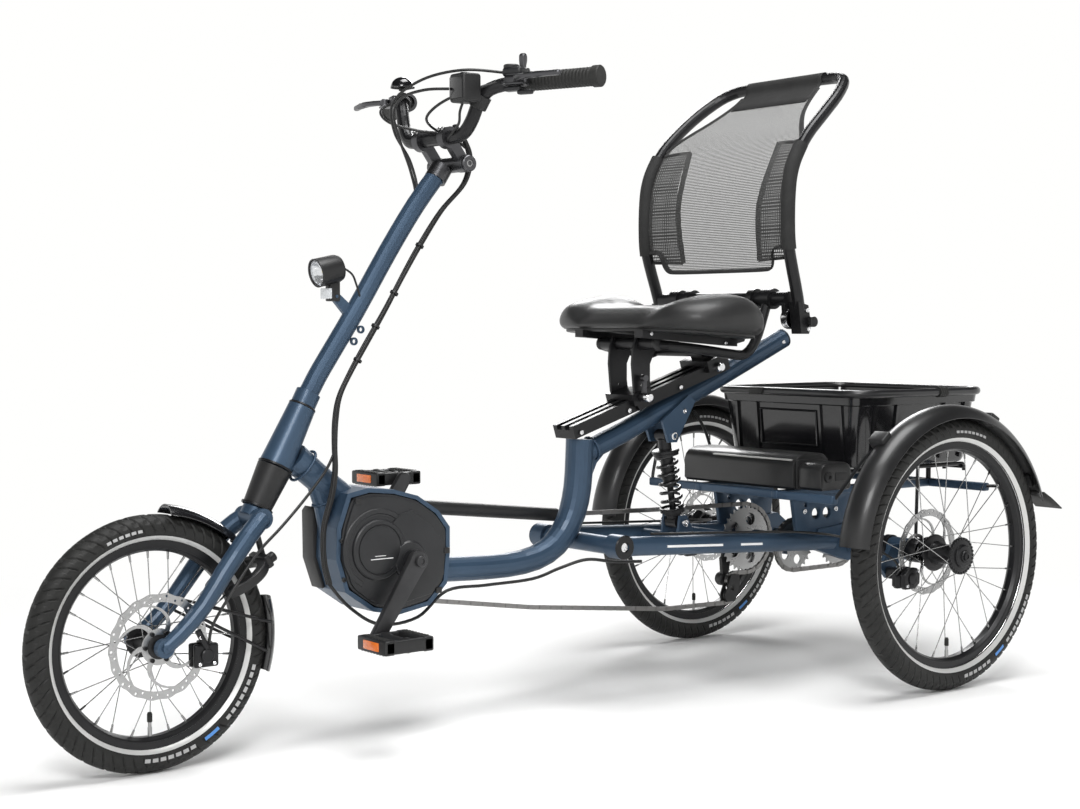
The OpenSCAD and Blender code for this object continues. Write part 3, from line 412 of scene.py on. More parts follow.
def bolt(bm, place, axis, r=0.004, h=0.004, mat_index=0):
    """Round socket head with a hexagon recess."""
    lathe(bm, [(0, 0), (r, 0), (r, h * 0.8), (r * 0.82, h), (r * 0.55, h), (r * 0.5, h * 0.4), (0, h * 0.4)],
          place, axis, 18, mat_index=mat_index)


def side_bolts(bm, rows):
    """Bolts on both sides from (x, y, z, radius, height) in millimetres."""
    for s in (-1, 1):
        for x, y, z, r, h in rows:
            bolt(bm, mm(s * x, y, z), (s, 0, 0), r / 1000, h / 1000)


def dress(names, mat, angle=32.0):
    """Gives CAD nodes a material and smooth shading; their meshes stay as they are."""
    for name in names:
        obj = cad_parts[name]
        obj.data.materials.clear()
        obj.data.materials.append(MAT[mat] if isinstance(mat, str) else mat)
        for poly in obj.data.polygons:
            poly.material_index = 0
            poly.use_smooth = True
        obj.data.set_sharp_from_angle(angle=math.radians(angle))


# ---------- camera and stage ----------

def set_camera():
    """Camera off the front left, about as high as the saddle."""
    cam_data = bpy.data.cameras.new("camera")
    cam = bpy.data.objects.new("camera", cam_data)
    bpy.context.collection.objects.link(cam)
    yaw = math.radians(52.2)
    dip = math.radians(2.61)
    look = Vector((-math.sin(yaw) * math.cos(dip), math.cos(yaw) * math.cos(dip), -math.sin(dip)))
    cam.location = (2.432, -1.911, 0.672)
    cam.rotation_euler = look.to_track_quat("-Z", "Y").to_euler()
    cam_data.lens = 58.9
    cam_data.sensor_width = 36.0
    bpy.context.scene.camera = cam


def add_light(name, place, target, size, power):
    """Rectangular area light."""
    light = bpy.data.lights.new(name, "AREA")
    light.shape = "RECTANGLE"
    light.size, light.size_y = size
    light.energy = power
    obj = bpy.data.objects.new(name, light)
    obj.location = place
    obj.rotation_euler = (Vector(target) - Vector(place)).to_track_quat("-Z", "Y").to_euler()
    bpy.context.collection.objects.link(obj)


def radial_blend(mat, near, far):
    """0 within near metres of the object's middle, rising to 1 at far metres."""
    reach = node(mat, "ShaderNodeVectorMath", operation="LENGTH")
    link(mat, object_coordinates(mat), reach.inputs[0])
    return map_range(mat, reach.outputs["Value"], near, far, 0.0, 1.0, "SMOOTHSTEP")


def floor_material():
    """Pale floor that turns into the white of the backdrop away from the object."""
    mat = make_material("pale_floor", (0.9, 0.9, 0.895), 0.9, specular=0.1)
    nodes = mat.node_tree.nodes
    glow = node(mat, "ShaderNodeEmission", Color=(1.0, 1.0, 0.99, 1.0))
    mix = node(mat, "ShaderNodeMixShader")
    link(mat, radial_blend(mat, 0.9, 2.1), mix.inputs["Fac"])
    link(mat, nodes["Principled BSDF"].outputs["BSDF"], mix.inputs[1])
    link(mat, glow.outputs["Emission"], mix.inputs[2])
    link(mat, mix.outputs["Shader"], nodes["Material Output"].inputs["Surface"])
    return mat


def set_world():
    """Studio with white walls and a dim ceiling."""
    world = bpy.data.worlds.new("studio")
    bpy.context.scene.world = world
    world.use_nodes = True
    back = world.node_tree.nodes["Background"]
    back.inputs["Color"].default_value = (1.0, 1.0, 0.99, 1.0)
    height = split_axes(world, "Generated")["Z"]
    link(world, map_range(world, height, 0.3, 0.42, 1.0, 0.0, "SMOOTHSTEP"), back.inputs["Strength"])


def set_stage():
    """Floor, world and three soft lights."""
    bm = bmesh.new()
    half = 40.0
    quad = [bm.verts.new(p) for p in ((-half, -half, 0), (half, -half, 0), (half, half, 0), (-half, half, 0))]
    bm.faces.new(quad)
    MAT["floor"] = floor_material()
    floor = finish_mesh("floor", bm, "floor", None)
    set_world()
    middle = (0, 0, 0.5)
    add_light("key", (3.0, -2.6, 3.2), middle, (1.6, 1.2), 120)
    add_light("top", (0.6, 0.2, 4.0), middle, (2.6, 1.8), 150)
    add_light("rim", (-2.8, 2.6, 2.4), middle, (1.8, 1.2), 80)
    bpy.context.scene.view_settings.view_transform = "Standard"


set_camera()
set_stage()


# ---------- wheels ----------

X_AXIS = (1, 0, 0)
DISC_BOLT_R = 0.0225
DISC_ARMS = 6


def tyre_material(name):
    """Rubber with fine rings on the sidewalls; UV is (turn, place across the section from -1 to 1)."""
    mat = black(name, (0.0125, 0.0125, 0.0118), 0.58, grain=900.0, bump=0.2, specular=0.4)
    across = maths(mat, "ABSOLUTE", split_axes(mat, "UV")["Y"])
    rings = maths(mat, "SINE", maths(mat, "MULTIPLY", across, 130.0))
    sidewall = maths(mat, "GREATER_THAN", across, 0.8)
    add_bump(mat, maths(mat, "MULTIPLY", rings, sidewall), 0.25, 0.0003)
    return mat


MAT["tread"] = tyre_material("tread")
MAT["reflex"] = make_material("reflex_stripe", (0.62, 0.62, 0.61), 0.35, metallic=0.3)
MAT["blue_dash"] = make_material("blue_dash", (0.08, 0.25, 0.6), 0.5)
MAT["grey_dash"] = make_material("grey_dash", (0.4, 0.4, 0.4), 0.5)


def tyre_section(bead, outer, width):
    """(radius, x, place) round the section, from one bead over the tread to the other."""
    half = width / 2
    mid = outer - half
    points = [(bead + 0.001, -0.0095, -1.0), (bead + 0.0055, -0.0115, -0.95)]
    for k in range(25):
        a = math.radians(-52 + (284 * k / 24))
        crown = 1.0 if abs(math.cos(a)) > 0.55 else 0.995
        points.append((mid + half * crown * math.sin(a), -half * math.cos(a), -0.9 + 1.8 * k / 24))
    points += [(bead + 0.0055, 0.0115, 0.95), (bead + 0.001, 0.0095, 1.0)]
    return points


def make_tyre(name, centre, bead, outer, width, body, cad_node, blocks):
    """A tyre whose tread is cut by chevron grooves and one zigzag groove round each shoulder."""
    bm = bmesh.new()
    layer = bm.loops.layers.uv.new("UVMap")
    section = tyre_section(bead, outer, width)
    pitch, middle, depth = 7, 14, 0.0019
    centre_half, shoulder, zigzag, tread_half = 2, 5, 4, 8
    count = blocks * pitch
    hub = outer - width / 2

    def groove(i, k):
        """How deep the tread is cut at segment i and section point k."""
        off = abs(k - middle)
        if off > tread_half:
            return 0.0
        if off == shoulder and (i + off) % pitch < zigzag:
            return depth * 0.6
        if off < centre_half:
            return depth * 0.8 if (i // 2) % pitch == 0 else 0.0
        return depth if (i + off) % pitch == 0 else 0.0

    rings = []
    for i in range(count):
        a = TAU * i / count
        ring = []
        for k, (r, x, _) in enumerate(section):
            length = math.hypot(r - hub, x)
            scale = 1 - groove(i, k) / length
            radius = hub + (r - hub) * scale
            ring.append(bm.verts.new(off_axle(centre, x * scale, radius, a)))
        rings.append(ring)
    for i in range(count):
        one, two = rings[i], rings[(i + 1) % count]
        for k in range(len(section) - 1):
            corners = ((i, k, one[k]), (i, k + 1, one[k + 1]), (i + 1, k + 1, two[k + 1]), (i + 1, k, two[k]))
            if abs(k + 0.5 - middle) > tread_half + 1:
                faces = (corners,)
            elif k < middle:
                faces = (corners[:3], (corners[0], corners[2], corners[3]))
            else:
                faces = ((corners[0], corners[1], corners[3]), corners[1:])
            for part in faces:
                face = bm.faces.new([corner[2] for corner in part])
                for loop, (u, v, _) in zip(face.loops, part):
                    loop[layer].uv = (u / count, section[v][2])
        face = bm.faces.new((one[0], two[0], two[-1], one[-1]))
        for loop in face.loops:
            loop[layer].uv = (0.0, 1.0)
    obj = finish_mesh(name, bm, "tread", body, 22.0)
    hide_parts(cad_node)
    ring = bmesh.new()
    half = width / 2
    for s in (-1, 1):
        profile = []
        for lean in (-50, -45, -40, -34, -28):
            a = math.radians(lean)
            profile.append((outer - half + (half + 0.0004) * math.sin(a), s * (half + 0.0004) * math.cos(a)))
        lathe(ring, profile, centre, X_AXIS, 96)
    finish_mesh(name + "_stripe", ring, "reflex", body)
    return obj


def sidewall_dashes(name, centre, radius, x, body, marks):
    """Short plain bars on the sidewall: (start angle, length angle, height, material index)."""
    bm = bmesh.new()
    for start, length, height, index in marks:
        steps = max(2, int(length))
        low, high = [], []
        for k in range(steps + 1):
            a = math.radians(start + length * k / steps)
            low.append(bm.verts.new(off_axle(centre, x, radius - height / 2, a)))
            high.append(bm.verts.new(off_axle(centre, x - 0.0004, radius + height / 2, a)))
        for k in range(steps):
            bm.faces.new((low[k], low[k + 1], high[k + 1], high[k])).material_index = index
    obj = finish_mesh(name, bm, ["grey_dash", "blue_dash"], body)


def make_rim(name, centre, bead, body, cad_node):
    """Hooked rim with bare brake edges."""
    bm = bmesh.new()
    half = [(bead - 0.013, 0.0055), (bead - 0.0126, 0.0062), (bead - 0.009, 0.0117), (bead - 0.008, 0.0122),
            (bead - 0.0065, 0.0126), (bead - 0.0062, 0.0121), (bead + 0.0045, 0.0121),
            (bead + 0.0048, 0.0126), (bead + 0.0058, 0.0124), (bead + 0.006, 0.0112), (bead, 0.0098)]
    outline = [(r, -x) for r, x in half] + [(bead - 0.001, 0.0)] + half[::-1]
    outline += [(bead - 0.0128, 0.0), outline[0]]
    rings = lathe(bm, outline, centre, X_AXIS, 120)
    silver = set(v for ring in rings[6:8] + rings[15:17] for v in ring)
    for face in bm.faces:
        face.material_index = 0 if all(v in silver for v in face.verts) else 1
    obj = finish_mesh(name, bm, ["alloy", "black_metal"], body, 25.0)
    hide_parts(cad_node)


SPOKES = 28
SPOKE_LEAD = math.radians(24.0) * 2.2


def make_spokes(bm, centre, bead, flange_r, flange_x):
    """Crossed spokes from both flanges, each with a nipple at the rim and a head at the flange."""
    for i in range(SPOKES):
        side = 1 if i % 2 == 0 else -1
        lead = SPOKE_LEAD if (i // 2) % 2 == 0 else -SPOKE_LEAD
        a = TAU * i / SPOKES
        hub = off_axle(centre, side * flange_x, flange_r, a + lead)
        end = off_axle(centre, side * 0.002, bead - 0.0125, a)
        rod(bm, hub, end, 0.00085, 6)
        near = end + (hub - end).normalized() * 0.012
        sweep(bm, [end, near], [0.0021, 0.0016], 8)
        lathe(bm, [(0, 0), (0.0019, 0), (0.0016, 0.0012), (0, 0.0014)], hub + Vector((side * 0.0012, 0, 0)),
              (side, 0, 0), 8)


def wavy_disc(bm, centre, outer, band, thick):
    """Brake disc: scalloped band with rows of holes, curved arms and a bolted centre."""
    place = side_place(centre)
    steps, waves, inner = 144, 18, 0.0275
    outline = []
    for k in range(steps):
        a = TAU * k / steps
        r = outer - 0.0009 + 0.0009 * math.cos(waves * a)
        outline.append((r * math.cos(a), r * math.sin(a)))
    openings = [circle(outer - band, 72)]
    for k in range(waves):
        for r, lead, hole in ((outer - 0.0045, 0.0, 0.0021), (outer - 0.0088, 0.14, 0.0019)):
            a = TAU * k / waves + lead
            openings.append(circle(hole, 14, (r * math.cos(a), r * math.sin(a))))
    plate(bm, outline, thick, place, loops=openings)
    bolt_holes = [circle(0.0022, 14, at) for at in circle(DISC_BOLT_R, DISC_ARMS)]
    plate(bm, circle(inner, 60), thick, place, loops=[circle(0.0185, 72)] + bolt_holes)
    for k in range(DISC_ARMS):
        path_a, path_b = [], []
        for t in range(9):
            u = t / 8
            r = inner - 0.001 + (outer - band + 0.0015 - inner) * u
            a = TAU * k / DISC_ARMS + 0.75 * u * u + 0.12 * u
            w = 0.0034 + 0.0012 * abs(u - 0.5)
            path_a.append((r * math.cos(a - w / r), r * math.sin(a - w / r)))
            path_b.append((r * math.cos(a + w / r), r * math.sin(a + w / r)))
        plate(bm, path_a + path_b[::-1], thick * 0.9, place)


def make_rotor(name, centre, side, body, cad_node):
    """Brake disc and its bolts, one to each arm."""
    bm = bmesh.new()
    wavy_disc(bm, centre, 0.08, 0.0135, 0.0019)
    obj = finish_mesh(name, bm, "steel", body, 30.0)
    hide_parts(cad_node)
    bm = bmesh.new()
    for k in range(DISC_ARMS):
        bolt(bm, off_axle(centre, side * 0.001, DISC_BOLT_R, TAU * k / DISC_ARMS), (side, 0, 0), 0.0034,
             0.0026)
    finish_mesh(name + "_bolts", bm, "black_metal", body)


def make_valve(name, centre, bead, body):
    """Tyre valve with its cap."""
    bm = bmesh.new()
    foot = Vector(centre) + Vector((0, 0, -(bead - 0.012)))
    lathe(bm, [(0, 0), (0.0034, 0), (0.0034, 0.014), (0.0027, 0.015), (0.0027, 0.022)], foot, (0, 0, 1), 12)
    lathe(bm, [(0.0036, 0.022), (0.004, 0.023), (0.004, 0.034), (0.0028, 0.037), (0, 0.037)], foot, (0, 0, 1),
          12, mat_index=1)
    finish_mesh(name, bm, ["steel", "rubber"], body)


def middle_of(cad_node):
    """Middle of a CAD node."""
    low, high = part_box(cad_node)
    return (Vector(low) + Vector(high)) / 2


FRONT_AXLE, LEFT_AXLE, RIGHT_AXLE = middle_of("front_tyre"), middle_of("left_tyre"), middle_of("right_tyre")
FRONT_AXLE.x = 0
FRONT_BEAD, REAR_BEAD = 0.1525, 0.203


def front_wheel():
    """Small front wheel with a hub, spokes and a disc."""
    make_tyre("tyre_front", FRONT_AXLE, FRONT_BEAD, 0.1943, 0.0418, "front_wheel", "front_tyre", 64)
    marks = [(-96 + 4.2 * k, 3.0, 0.006, 0) for k in range(7)] + [(-62, 9, 0.0055, 1)]
    marks += [(-47 + 4.0 * k, 2.8, 0.006, 0) for k in range(8)]
    marks += [(96 + 3.4 * k, 2.4, 0.0045, 0) for k in range(6)]
    for s, tag in ((-1, "right"), (1, "left")):
        sidewall_dashes(f"front_dashes_{tag}", FRONT_AXLE, 0.1725, s * 0.02125, "front_wheel", marks)
    make_rim("rim_front", FRONT_AXLE, FRONT_BEAD, "front_wheel", "front_rim")
    bm = bmesh.new()
    make_spokes(bm, FRONT_AXLE, FRONT_BEAD, 0.022, 0.026)
    spokes = finish_mesh("spokes_front", bm, "spoke", "front_wheel")
    hub = turned("hub_front", [(0.0062, -0.038), (0.015, -0.038), (0.017, -0.036), (0.017, -0.029),
                               (0.0245, -0.028), (0.025, -0.026), (0.024, -0.024), (0.016, -0.022),
                               (0.013, -0.012), (0.0125, 0.0), (0.013, 0.012), (0.016, 0.022), (0.024, 0.024),
                               (0.025, 0.026), (0.0245, 0.028), (0.0185, 0.029), (0.0185, 0.036),
                               (0.015, 0.038), (0.0062, 0.038), (0.0062, -0.038)],
                 FRONT_AXLE, X_AXIS, "black_metal", "front_wheel")
    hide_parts("front_hub")
    make_rotor("disc_front", FRONT_AXLE + Vector((0.034, 0, 0)), 1, "front_wheel", "front_rotor")
    make_valve("valve_front", FRONT_AXLE, FRONT_BEAD, "front_wheel")


def rear_wheel(label, axle, side):
    """One rear wheel with its hub, brake disc and drive shaft."""
    body = f"{label}_wheel"
    make_tyre(f"tyre_{label}", axle, REAR_BEAD, 0.2498, 0.0468, body, f"{label}_tyre", 78)
    marks = [(-84 + 3.4 * k, 2.4, 0.0065, 0) for k in range(6)] + [(-60, 7, 0.006, 1)]
    marks += [(-50 + 3.4 * k, 2.4, 0.0065, 0) for k in range(8)]
    marks += [(70 + 2.8 * k, 2.0, 0.0045, 0) for k in range(8)]
    for s in (-1, 1):
        sidewall_dashes(f"{label}_dashes_{'out' if s == side else 'in'}", axle, 0.226, s * 0.0237, body,
                        marks)
    make_rim(f"rim_{label}", axle, REAR_BEAD, body, f"{label}_rim")
    bm = bmesh.new()
    make_spokes(bm, axle, REAR_BEAD, 0.0305, 0.03)
    spokes = finish_mesh(f"spokes_{label}", bm, "spoke", body)
    bm = bmesh.new()
    lathe(bm, [(0.0, 0.044), (0.0105, 0.044), (0.0115, 0.0425), (0.0115, 0.0405), (0.0185, 0.0395),
               (0.021, 0.037), (0.0215, 0.034), (0.0325, 0.0325), (0.034, 0.0315), (0.034, 0.0285),
               (0.0325, 0.0275), (0.022, 0.0265), (0.0185, 0.02), (0.018, 0.0), (0.0185, -0.02),
               (0.022, -0.0265), (0.0325, -0.0275), (0.034, -0.0285), (0.034, -0.0315), (0.0325, -0.0325),
               (0.022, -0.034), (0.018, -0.038), (0.018, -0.0495), (0.009, -0.0495)], axle, (side, 0, 0), 56)
    for k in range(SPOKES):
        head = off_axle(axle, side * 0.032, 0.0315, TAU * k / SPOKES)
        lathe(bm, [(0.0026, 0.0), (0.0022, 0.0016), (0, 0.002)], head, (side, 0, 0), 8)
    bolt(bm, axle + Vector((side * 0.0438, 0, 0)), (side, 0, 0), 0.0075, 0.0025)
    hub = finish_mesh(f"hub_{label}", bm, "black_metal", body)
    bm = bmesh.new()
    if side > 0:
        rod(bm, (0.05, axle.y, axle.z), (axle.x - 0.049, axle.y, axle.z), 0.0079, 24)
        chain_wheel(bm, (0.07, axle.y, axle.z), 0.048, 24, 0.0025)
    else:
        rod(bm, (axle.x + 0.049, axle.y, axle.z), (-0.0882, axle.y, axle.z), 0.0079, 24)
    shaft = finish_mesh(f"shaft_{label}", bm, "steel", body)
    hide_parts(f"{label}_hub")
    make_rotor(f"disc_{label}", axle + Vector((-side * 0.047, 0, 0)), side, body, f"{label}_rotor")
    make_valve(f"valve_{label}", axle, REAR_BEAD, body)


def chain_wheel(bm, centre, pitch_r, teeth, thick):
    """Toothed wheel with round windows."""
    outline = []
    for k in range(teeth):
        for frac, grow in ((0.0, -0.003), (0.2, -0.0028), (0.38, 0.001), (0.5, 0.0032), (0.62, 0.001),
                           (0.8, -0.0028)):
            a = TAU * (k + frac) / teeth
            outline.append(((pitch_r + grow) * math.cos(a), (pitch_r + grow) * math.sin(a)))
    cut = [(x, y, pitch_r * 0.19) for x, y in circle(pitch_r * 0.62, 5)]
    plate(bm, outline, thick, side_place(centre), holes=cut)


front_wheel()
rear_wheel("left", LEFT_AXLE, 1)
rear_wheel("right", RIGHT_AXLE, -1)


# ---------- frame, motor and cranks ----------

dress(["main_frame", "fork", "steering_column", "swingarm"], "blue", 34.0)
dress(["chain_guard_tube", "headset_cone", "derailleur", "derailleur_cage", "pod_button"], "black_plastic")
dress(["seat_rail", "handlebar", "seat_bracket", "seat_frame", "backrest_frame", "shock_shaft", "shock_body"],
      "black_metal")
dress(["head_bearings", "lock_shackle"], "steel")
dress(["stem_base", "stem_clamp", "seat_clamp_lever"], "grey_alloy")


def weld_ring(name, centre, axis, radius, body, width=0.0042, squash=1.0):
    """Row of small overlapping ripples round a joint."""
    bm = bmesh.new()
    turn = Matrix.Translation(centre) @ frame_of(axis)
    count = 120
    path = []
    sizes = []
    for k in range(count):
        a = TAU * k / count
        path.append(turn @ Vector((radius * math.cos(a), radius * squash * math.sin(a), 0)))
        sizes.append(width * (0.5 + 0.12 * math.cos(a * 40)))
    sweep(bm, path, sizes, 8, closed=True)
    finish_mesh(name, bm, "weld", body, 80.0)


STEER_DIR = Vector((0, math.sin(math.radians(28)), math.cos(math.radians(28))))
STEER_FOOT = mm(0, -583, 385)


def frame_details():
    """Welds, caps and bolts on the frame and the steering."""
    weld_ring("weld_down_tube", mm(0, -499, 448), (0, 0.77, -0.64), 0.0245, "frame", squash=1.15)
    weld_ring("weld_beam_motor", mm(0, -247, 261), (0, 1, -0.06), 0.0215, "frame", 0.005)
    weld_ring("weld_strut", mm(0, -464, 388), (0, 0.33, -0.94), 0.0155, "frame", 0.004)
    weld_ring("weld_boom", mm(0, 92, 450), (0, 0.94, 0.36), 0.0205, "frame", 0.005)
    bm = bmesh.new()
    lathe(bm, [(0, 0), (0.0175, 0), (0.019, -0.0015), (0.019, -0.004)], mm(0, 575, 645), (0, 0.92, 0.39), 32)
    finish_mesh("boom_end_cap", bm, "black_plastic", "frame")
    rings = bmesh.new()
    lathe(rings, [(0.0272, 0.0715), (0.0285, 0.0725), (0.0285, 0.0745), (0.0272, 0.0755)], STEER_FOOT,
          STEER_DIR, 48)
    finish_mesh("head_tube_lip", rings, "black_metal", "frame")
    cover = bmesh.new()
    lathe(cover, [(0.0148, 0.1765), (0.0222, 0.1765), (0.0225, 0.178), (0.0215, 0.1795), (0.0148, 0.1795)],
          STEER_FOOT, STEER_DIR, 40)
    finish_mesh("head_tube_cap", cover, "black_metal", "steering")
    crown = bmesh.new()
    lathe(crown, [(0.0235, 0.0015), (0.0262, 0.002), (0.0262, 0.005), (0.0238, 0.0055)], STEER_FOOT,
          STEER_DIR, 40)
    finish_mesh("crown_race", crown, "black_metal", "steering")
    bolts = bmesh.new()
    side_bolts(bolts, ((28, 264, 467, 7.5, 4), (28, 290, 512, 4.5, 3), (118, 66, 286, 10, 3.5),
                       (19, 556, 637, 4, 2)))
    finish_mesh("frame_bolts", bolts, "alloy", "frame")
    stays = bmesh.new()
    for y, z in ((-427, 652), (-414, 671)):
        lathe(stays, [(0.0035, -0.002), (0.0065, -0.002), (0.0065, 0.002), (0.0035, 0.002), (0.0035, -0.002)],
              mm(2, y + 22, z - 8), X_AXIS, 16)
    finish_mesh("column_eyelets", stays, "blue", "steering")


MOTOR = [(-446, 404), (-409, 411), (-360, 406), (-313, 393), (-272, 366), (-250, 338), (-250, 296),
         (-256, 245), (-290, 212), (-351, 202), (-400, 212), (-451, 247), (-468, 300), (-466, 350)]
MOTOR_MID = (-358.0, 306.0)


def motor_outline(scale):
    """The motor's outline about its middle, with rounded corners."""
    pts = []
    n = len(MOTOR)
    for i in range(n):
        a, b, c = MOTOR[i - 1], MOTOR[i], MOTOR[(i + 1) % n]
        for u in (0.0, 0.25, 0.5, 0.75, 1.0):
            p0 = (b[0] + (a[0] - b[0]) * 0.25, b[1] + (a[1] - b[1]) * 0.25)
            p2 = (b[0] + (c[0] - b[0]) * 0.25, b[1] + (c[1] - b[1]) * 0.25)
            x = (1 - u) ** 2 * p0[0] + 2 * u * (1 - u) * b[0] + u * u * p2[0]
            y = (1 - u) ** 2 * p0[1] + 2 * u * (1 - u) * b[1] + u * u * p2[1]
            pts.append(((MOTOR_MID[0] + (x - MOTOR_MID[0]) * scale) / 1000,
                        (MOTOR_MID[1] + (y - MOTOR_MID[1]) * scale) / 1000))
    return pts


def motor():
    """Motor unit with its cover rings, mark, clips and shield."""
    bm = bmesh.new()
    plate(bm, motor_outline(0.918), 0.098, side_matrix(0.0), bevel=0.0015)
    plate(bm, motor_outline(0.885), 0.006, side_matrix(0.0505), bevel=0.0018)
    panel = outline_mm((-330, 372), (-300, 352), (-268, 318), (-267, 262), (-292, 232), (-345, 222),
                       (-352, 240), (-345, 262), (-352, 300), (-360, 330), (-368, 352), (-352, 366))
    plate(bm, panel, 0.004, side_matrix(0.0545), bevel=0.0016)
    lathe(bm, [(0.066, 0.0), (0.066, 0.003), (0.0645, 0.0042), (0.058, 0.0042), (0.057, 0.003),
               (0.054, 0.003)],
          mm(51, -393, 312), X_AXIS, 72, arc=(math.radians(60), math.radians(330)))
    lathe(bm, [(0.05, 0.0), (0.0485, 0.0062), (0.0465, 0.0078), (0.041, 0.0082), (0.0402, 0.0068),
               (0.0392, 0.0068), (0.0384, 0.0086), (0.033, 0.0102), (0, 0.0108)], mm(51, -393, 312), X_AXIS,
          72)
    lathe(bm, [(0.031, 0.0), (0.0305, 0.006), (0.028, 0.0088), (0.0165, 0.0105), (0.0165, 0.012),
               (0.0096, 0.012)],
          mm(51, -335, 292), X_AXIS, 48)
    body = finish_mesh("motor_cover", bm, "dark_plastic", "frame", 30.0)
    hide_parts("motor_unit")
    marks = bmesh.new()
    box(marks, mm(61.6, -412, 297), mm(62.0, -370, 298.4))
    box(marks, mm(61.6, -404, 302), mm(62.0, -384, 303))
    finish_mesh("motor_mark", marks, "white", "frame")
    clips = bmesh.new()
    for y, z in ((-430, 392), (-260, 300), (-276, 236)):
        box(clips, mm(51, y - 6, z - 5), mm(55, y + 6, z + 5), 0.0015)
    bolt(clips, mm(49, -455, 268), X_AXIS, 0.004, 0.003)
    bolt(clips, mm(49, -458, 330), X_AXIS, 0.004, 0.003)
    finish_mesh("motor_clips", clips, "black_plastic", "frame")
    under = bmesh.new()
    shield = outline_mm((-474, 372), (-468, 380), (-461, 345), (-465, 300), (-451, 250), (-456, 246),
                        (-473, 296))
    plate(under, shield, 0.036, side_matrix(-0.031), bevel=0.002)
    finish_mesh("motor_shield", under, "black_plastic", "frame")


CRANK = mm(0, -335, 292)
CRANK_ANGLE = math.radians(34)
CRANK_LENGTH = 0.14


def crank_end(side):
    """Middle of a pedal's axle."""
    reach = -side * CRANK_LENGTH
    return CRANK + Vector((0, reach * math.sin(CRANK_ANGLE), reach * math.cos(CRANK_ANGLE)))


def crank_set():
    """Cranks, their axle and bolts, and the chainring."""
    bm = bmesh.new()
    for side in (-1, 1):
        outline = []
        for r, low, start, sweep_deg, steps in ((0.0175, 0.0, 200, -220, 14),
                                                (0.0125, -CRANK_LENGTH, -10, -160, 12)):
            for k in range(steps + 1):
                a = math.radians(start + sweep_deg * k / steps)
                outline.append((r * math.cos(a), low + r * math.sin(a)))
        turn = Matrix.Rotation((0 if side > 0 else math.pi) - CRANK_ANGLE, 4, "Z")
        plate(bm, outline, 0.0125, side_place((side * 0.08, CRANK.y, CRANK.z)) @ turn, bevel=0.003)
    for side in (-1, 1):
        end = crank_end(side)
        lathe(bm, [(0.0, 0.0052), (0.0045, 0.0052), (0.005, 0.007), (0.0085, 0.0072), (0.0095, 0.006),
                   (0.0095, 0.0)],
              CRANK + Vector((side * 0.0855, 0, 0)), (side, 0, 0), 24)
        lathe(bm, [(0.0, 0.001), (0.0035, 0.001), (0.0045, 0.0022), (0.0075, 0.0022), (0.0082, 0.0)],
              end + Vector((side * 0.0862, 0, 0)), (side, 0, 0), 20)
        rod(bm, end + Vector((side * 0.075, 0, 0)), end + Vector((side * 0.168, 0, 0)), 0.0049, 16)
    rod(bm, CRANK + Vector((-0.084, 0, 0)), CRANK + Vector((0.084, 0, 0)), 0.0089, 24)
    arms = finish_mesh("crank_arms", bm, "crank", "crank", 40.0)
    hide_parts("crank_set")
    ring = bmesh.new()
    chain_wheel(ring, CRANK + Vector((-0.06, 0, 0)), 0.076, 38, 0.0024)
    for k in range(5):
        bolt(ring, off_axle(CRANK, -0.0615, 0.026, TAU * k / 5), (-1, 0, 0), 0.004, 0.003)
    finish_mesh("chainring", ring, "black_metal", "crank")


MAT["crank"] = black("crank_alloy", (0.055, 0.055, 0.057), 0.4, metallic=0.7, grain=600.0, bump=0.05)


def pedal(label, side):
    """Flat pedal with treads and reflectors."""
    end = crank_end(side)
    x0, x1 = (0.093, 0.175) if side > 0 else (-0.175, -0.093)
    body_name = f"{label}_pedal"
    bm = bmesh.new()
    y, z = end.y, end.z
    for ya, yb in ((-0.045, -0.026), (0.026, 0.045)):
        box(bm, (x0, y + ya, z - 0.0115), (x1, y + yb, z + 0.0115), 0.003, 3)
    for xa in (x0, x1 - 0.011):
        box(bm, (xa, y - 0.044, z - 0.0105), (xa + 0.011, y + 0.044, z + 0.0105), 0.0028, 3)
    lathe(bm, [(0.0052, x0 + 0.004), (0.0115, x0 + 0.004), (0.0125, x0 + 0.012), (0.0105, x0 + 0.03),
               (0.0105, x1 - 0.02), (0.0125, x1 - 0.012), (0.0115, x1 - 0.004), (0.0052, x1 - 0.004)],
          (0, y, z), X_AXIS, 24)
    obj = finish_mesh(f"pedal_{label}_body", bm, "black_plastic", body_name, 40.0)
    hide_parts(f"pedal_{label}")
    grips_bm = bmesh.new()
    for ya in (-0.0425, 0.0285):
        for up in (-1, 1):
            for k in range(8):
                xa = x0 + 0.008 + 0.0085 * k
                low, high = sorted((z + up * 0.0112, z + up * 0.0124))
                box(grips_bm, (xa, y + ya, low), (xa + 0.0045, y + ya + 0.014, high), 0.0005, 1)
    finish_mesh(f"pedal_{label}_treads", grips_bm, "rubber", body_name)
    lens = bmesh.new()
    for ya, yb in ((-0.0462, -0.0442), (0.0442, 0.0462)):
        box(lens, (x0 + 0.019, y + ya, z - 0.0068), (x1 - 0.019, y + yb, z + 0.0068), 0.0008, 2)
    finish_mesh(f"pedal_{label}_reflectors", lens, "amber", body_name)


frame_details()
motor()
crank_set()
pedal("left", 1)
pedal("right", -1)


# ---------- seat ----------

def leather():
    """Cover of the saddle."""
    mat = make_material("seat_leather", (0.011, 0.011, 0.0112), 0.42, coat=0.08, sheen=0.05)
    add_mottle(mat, (0.009, 0.009, 0.0092), (0.014, 0.014, 0.0142), 18.0)
    add_roughness(mat, 0.38, 0.55, 24.0)
    add_bump(mat, cell_height(mat, 620.0, "DISTANCE_TO_EDGE"), 0.35, 0.0005)
    add_bump(mat, noise_height(mat, 90.0), 0.12, 0.0008)
    return mat


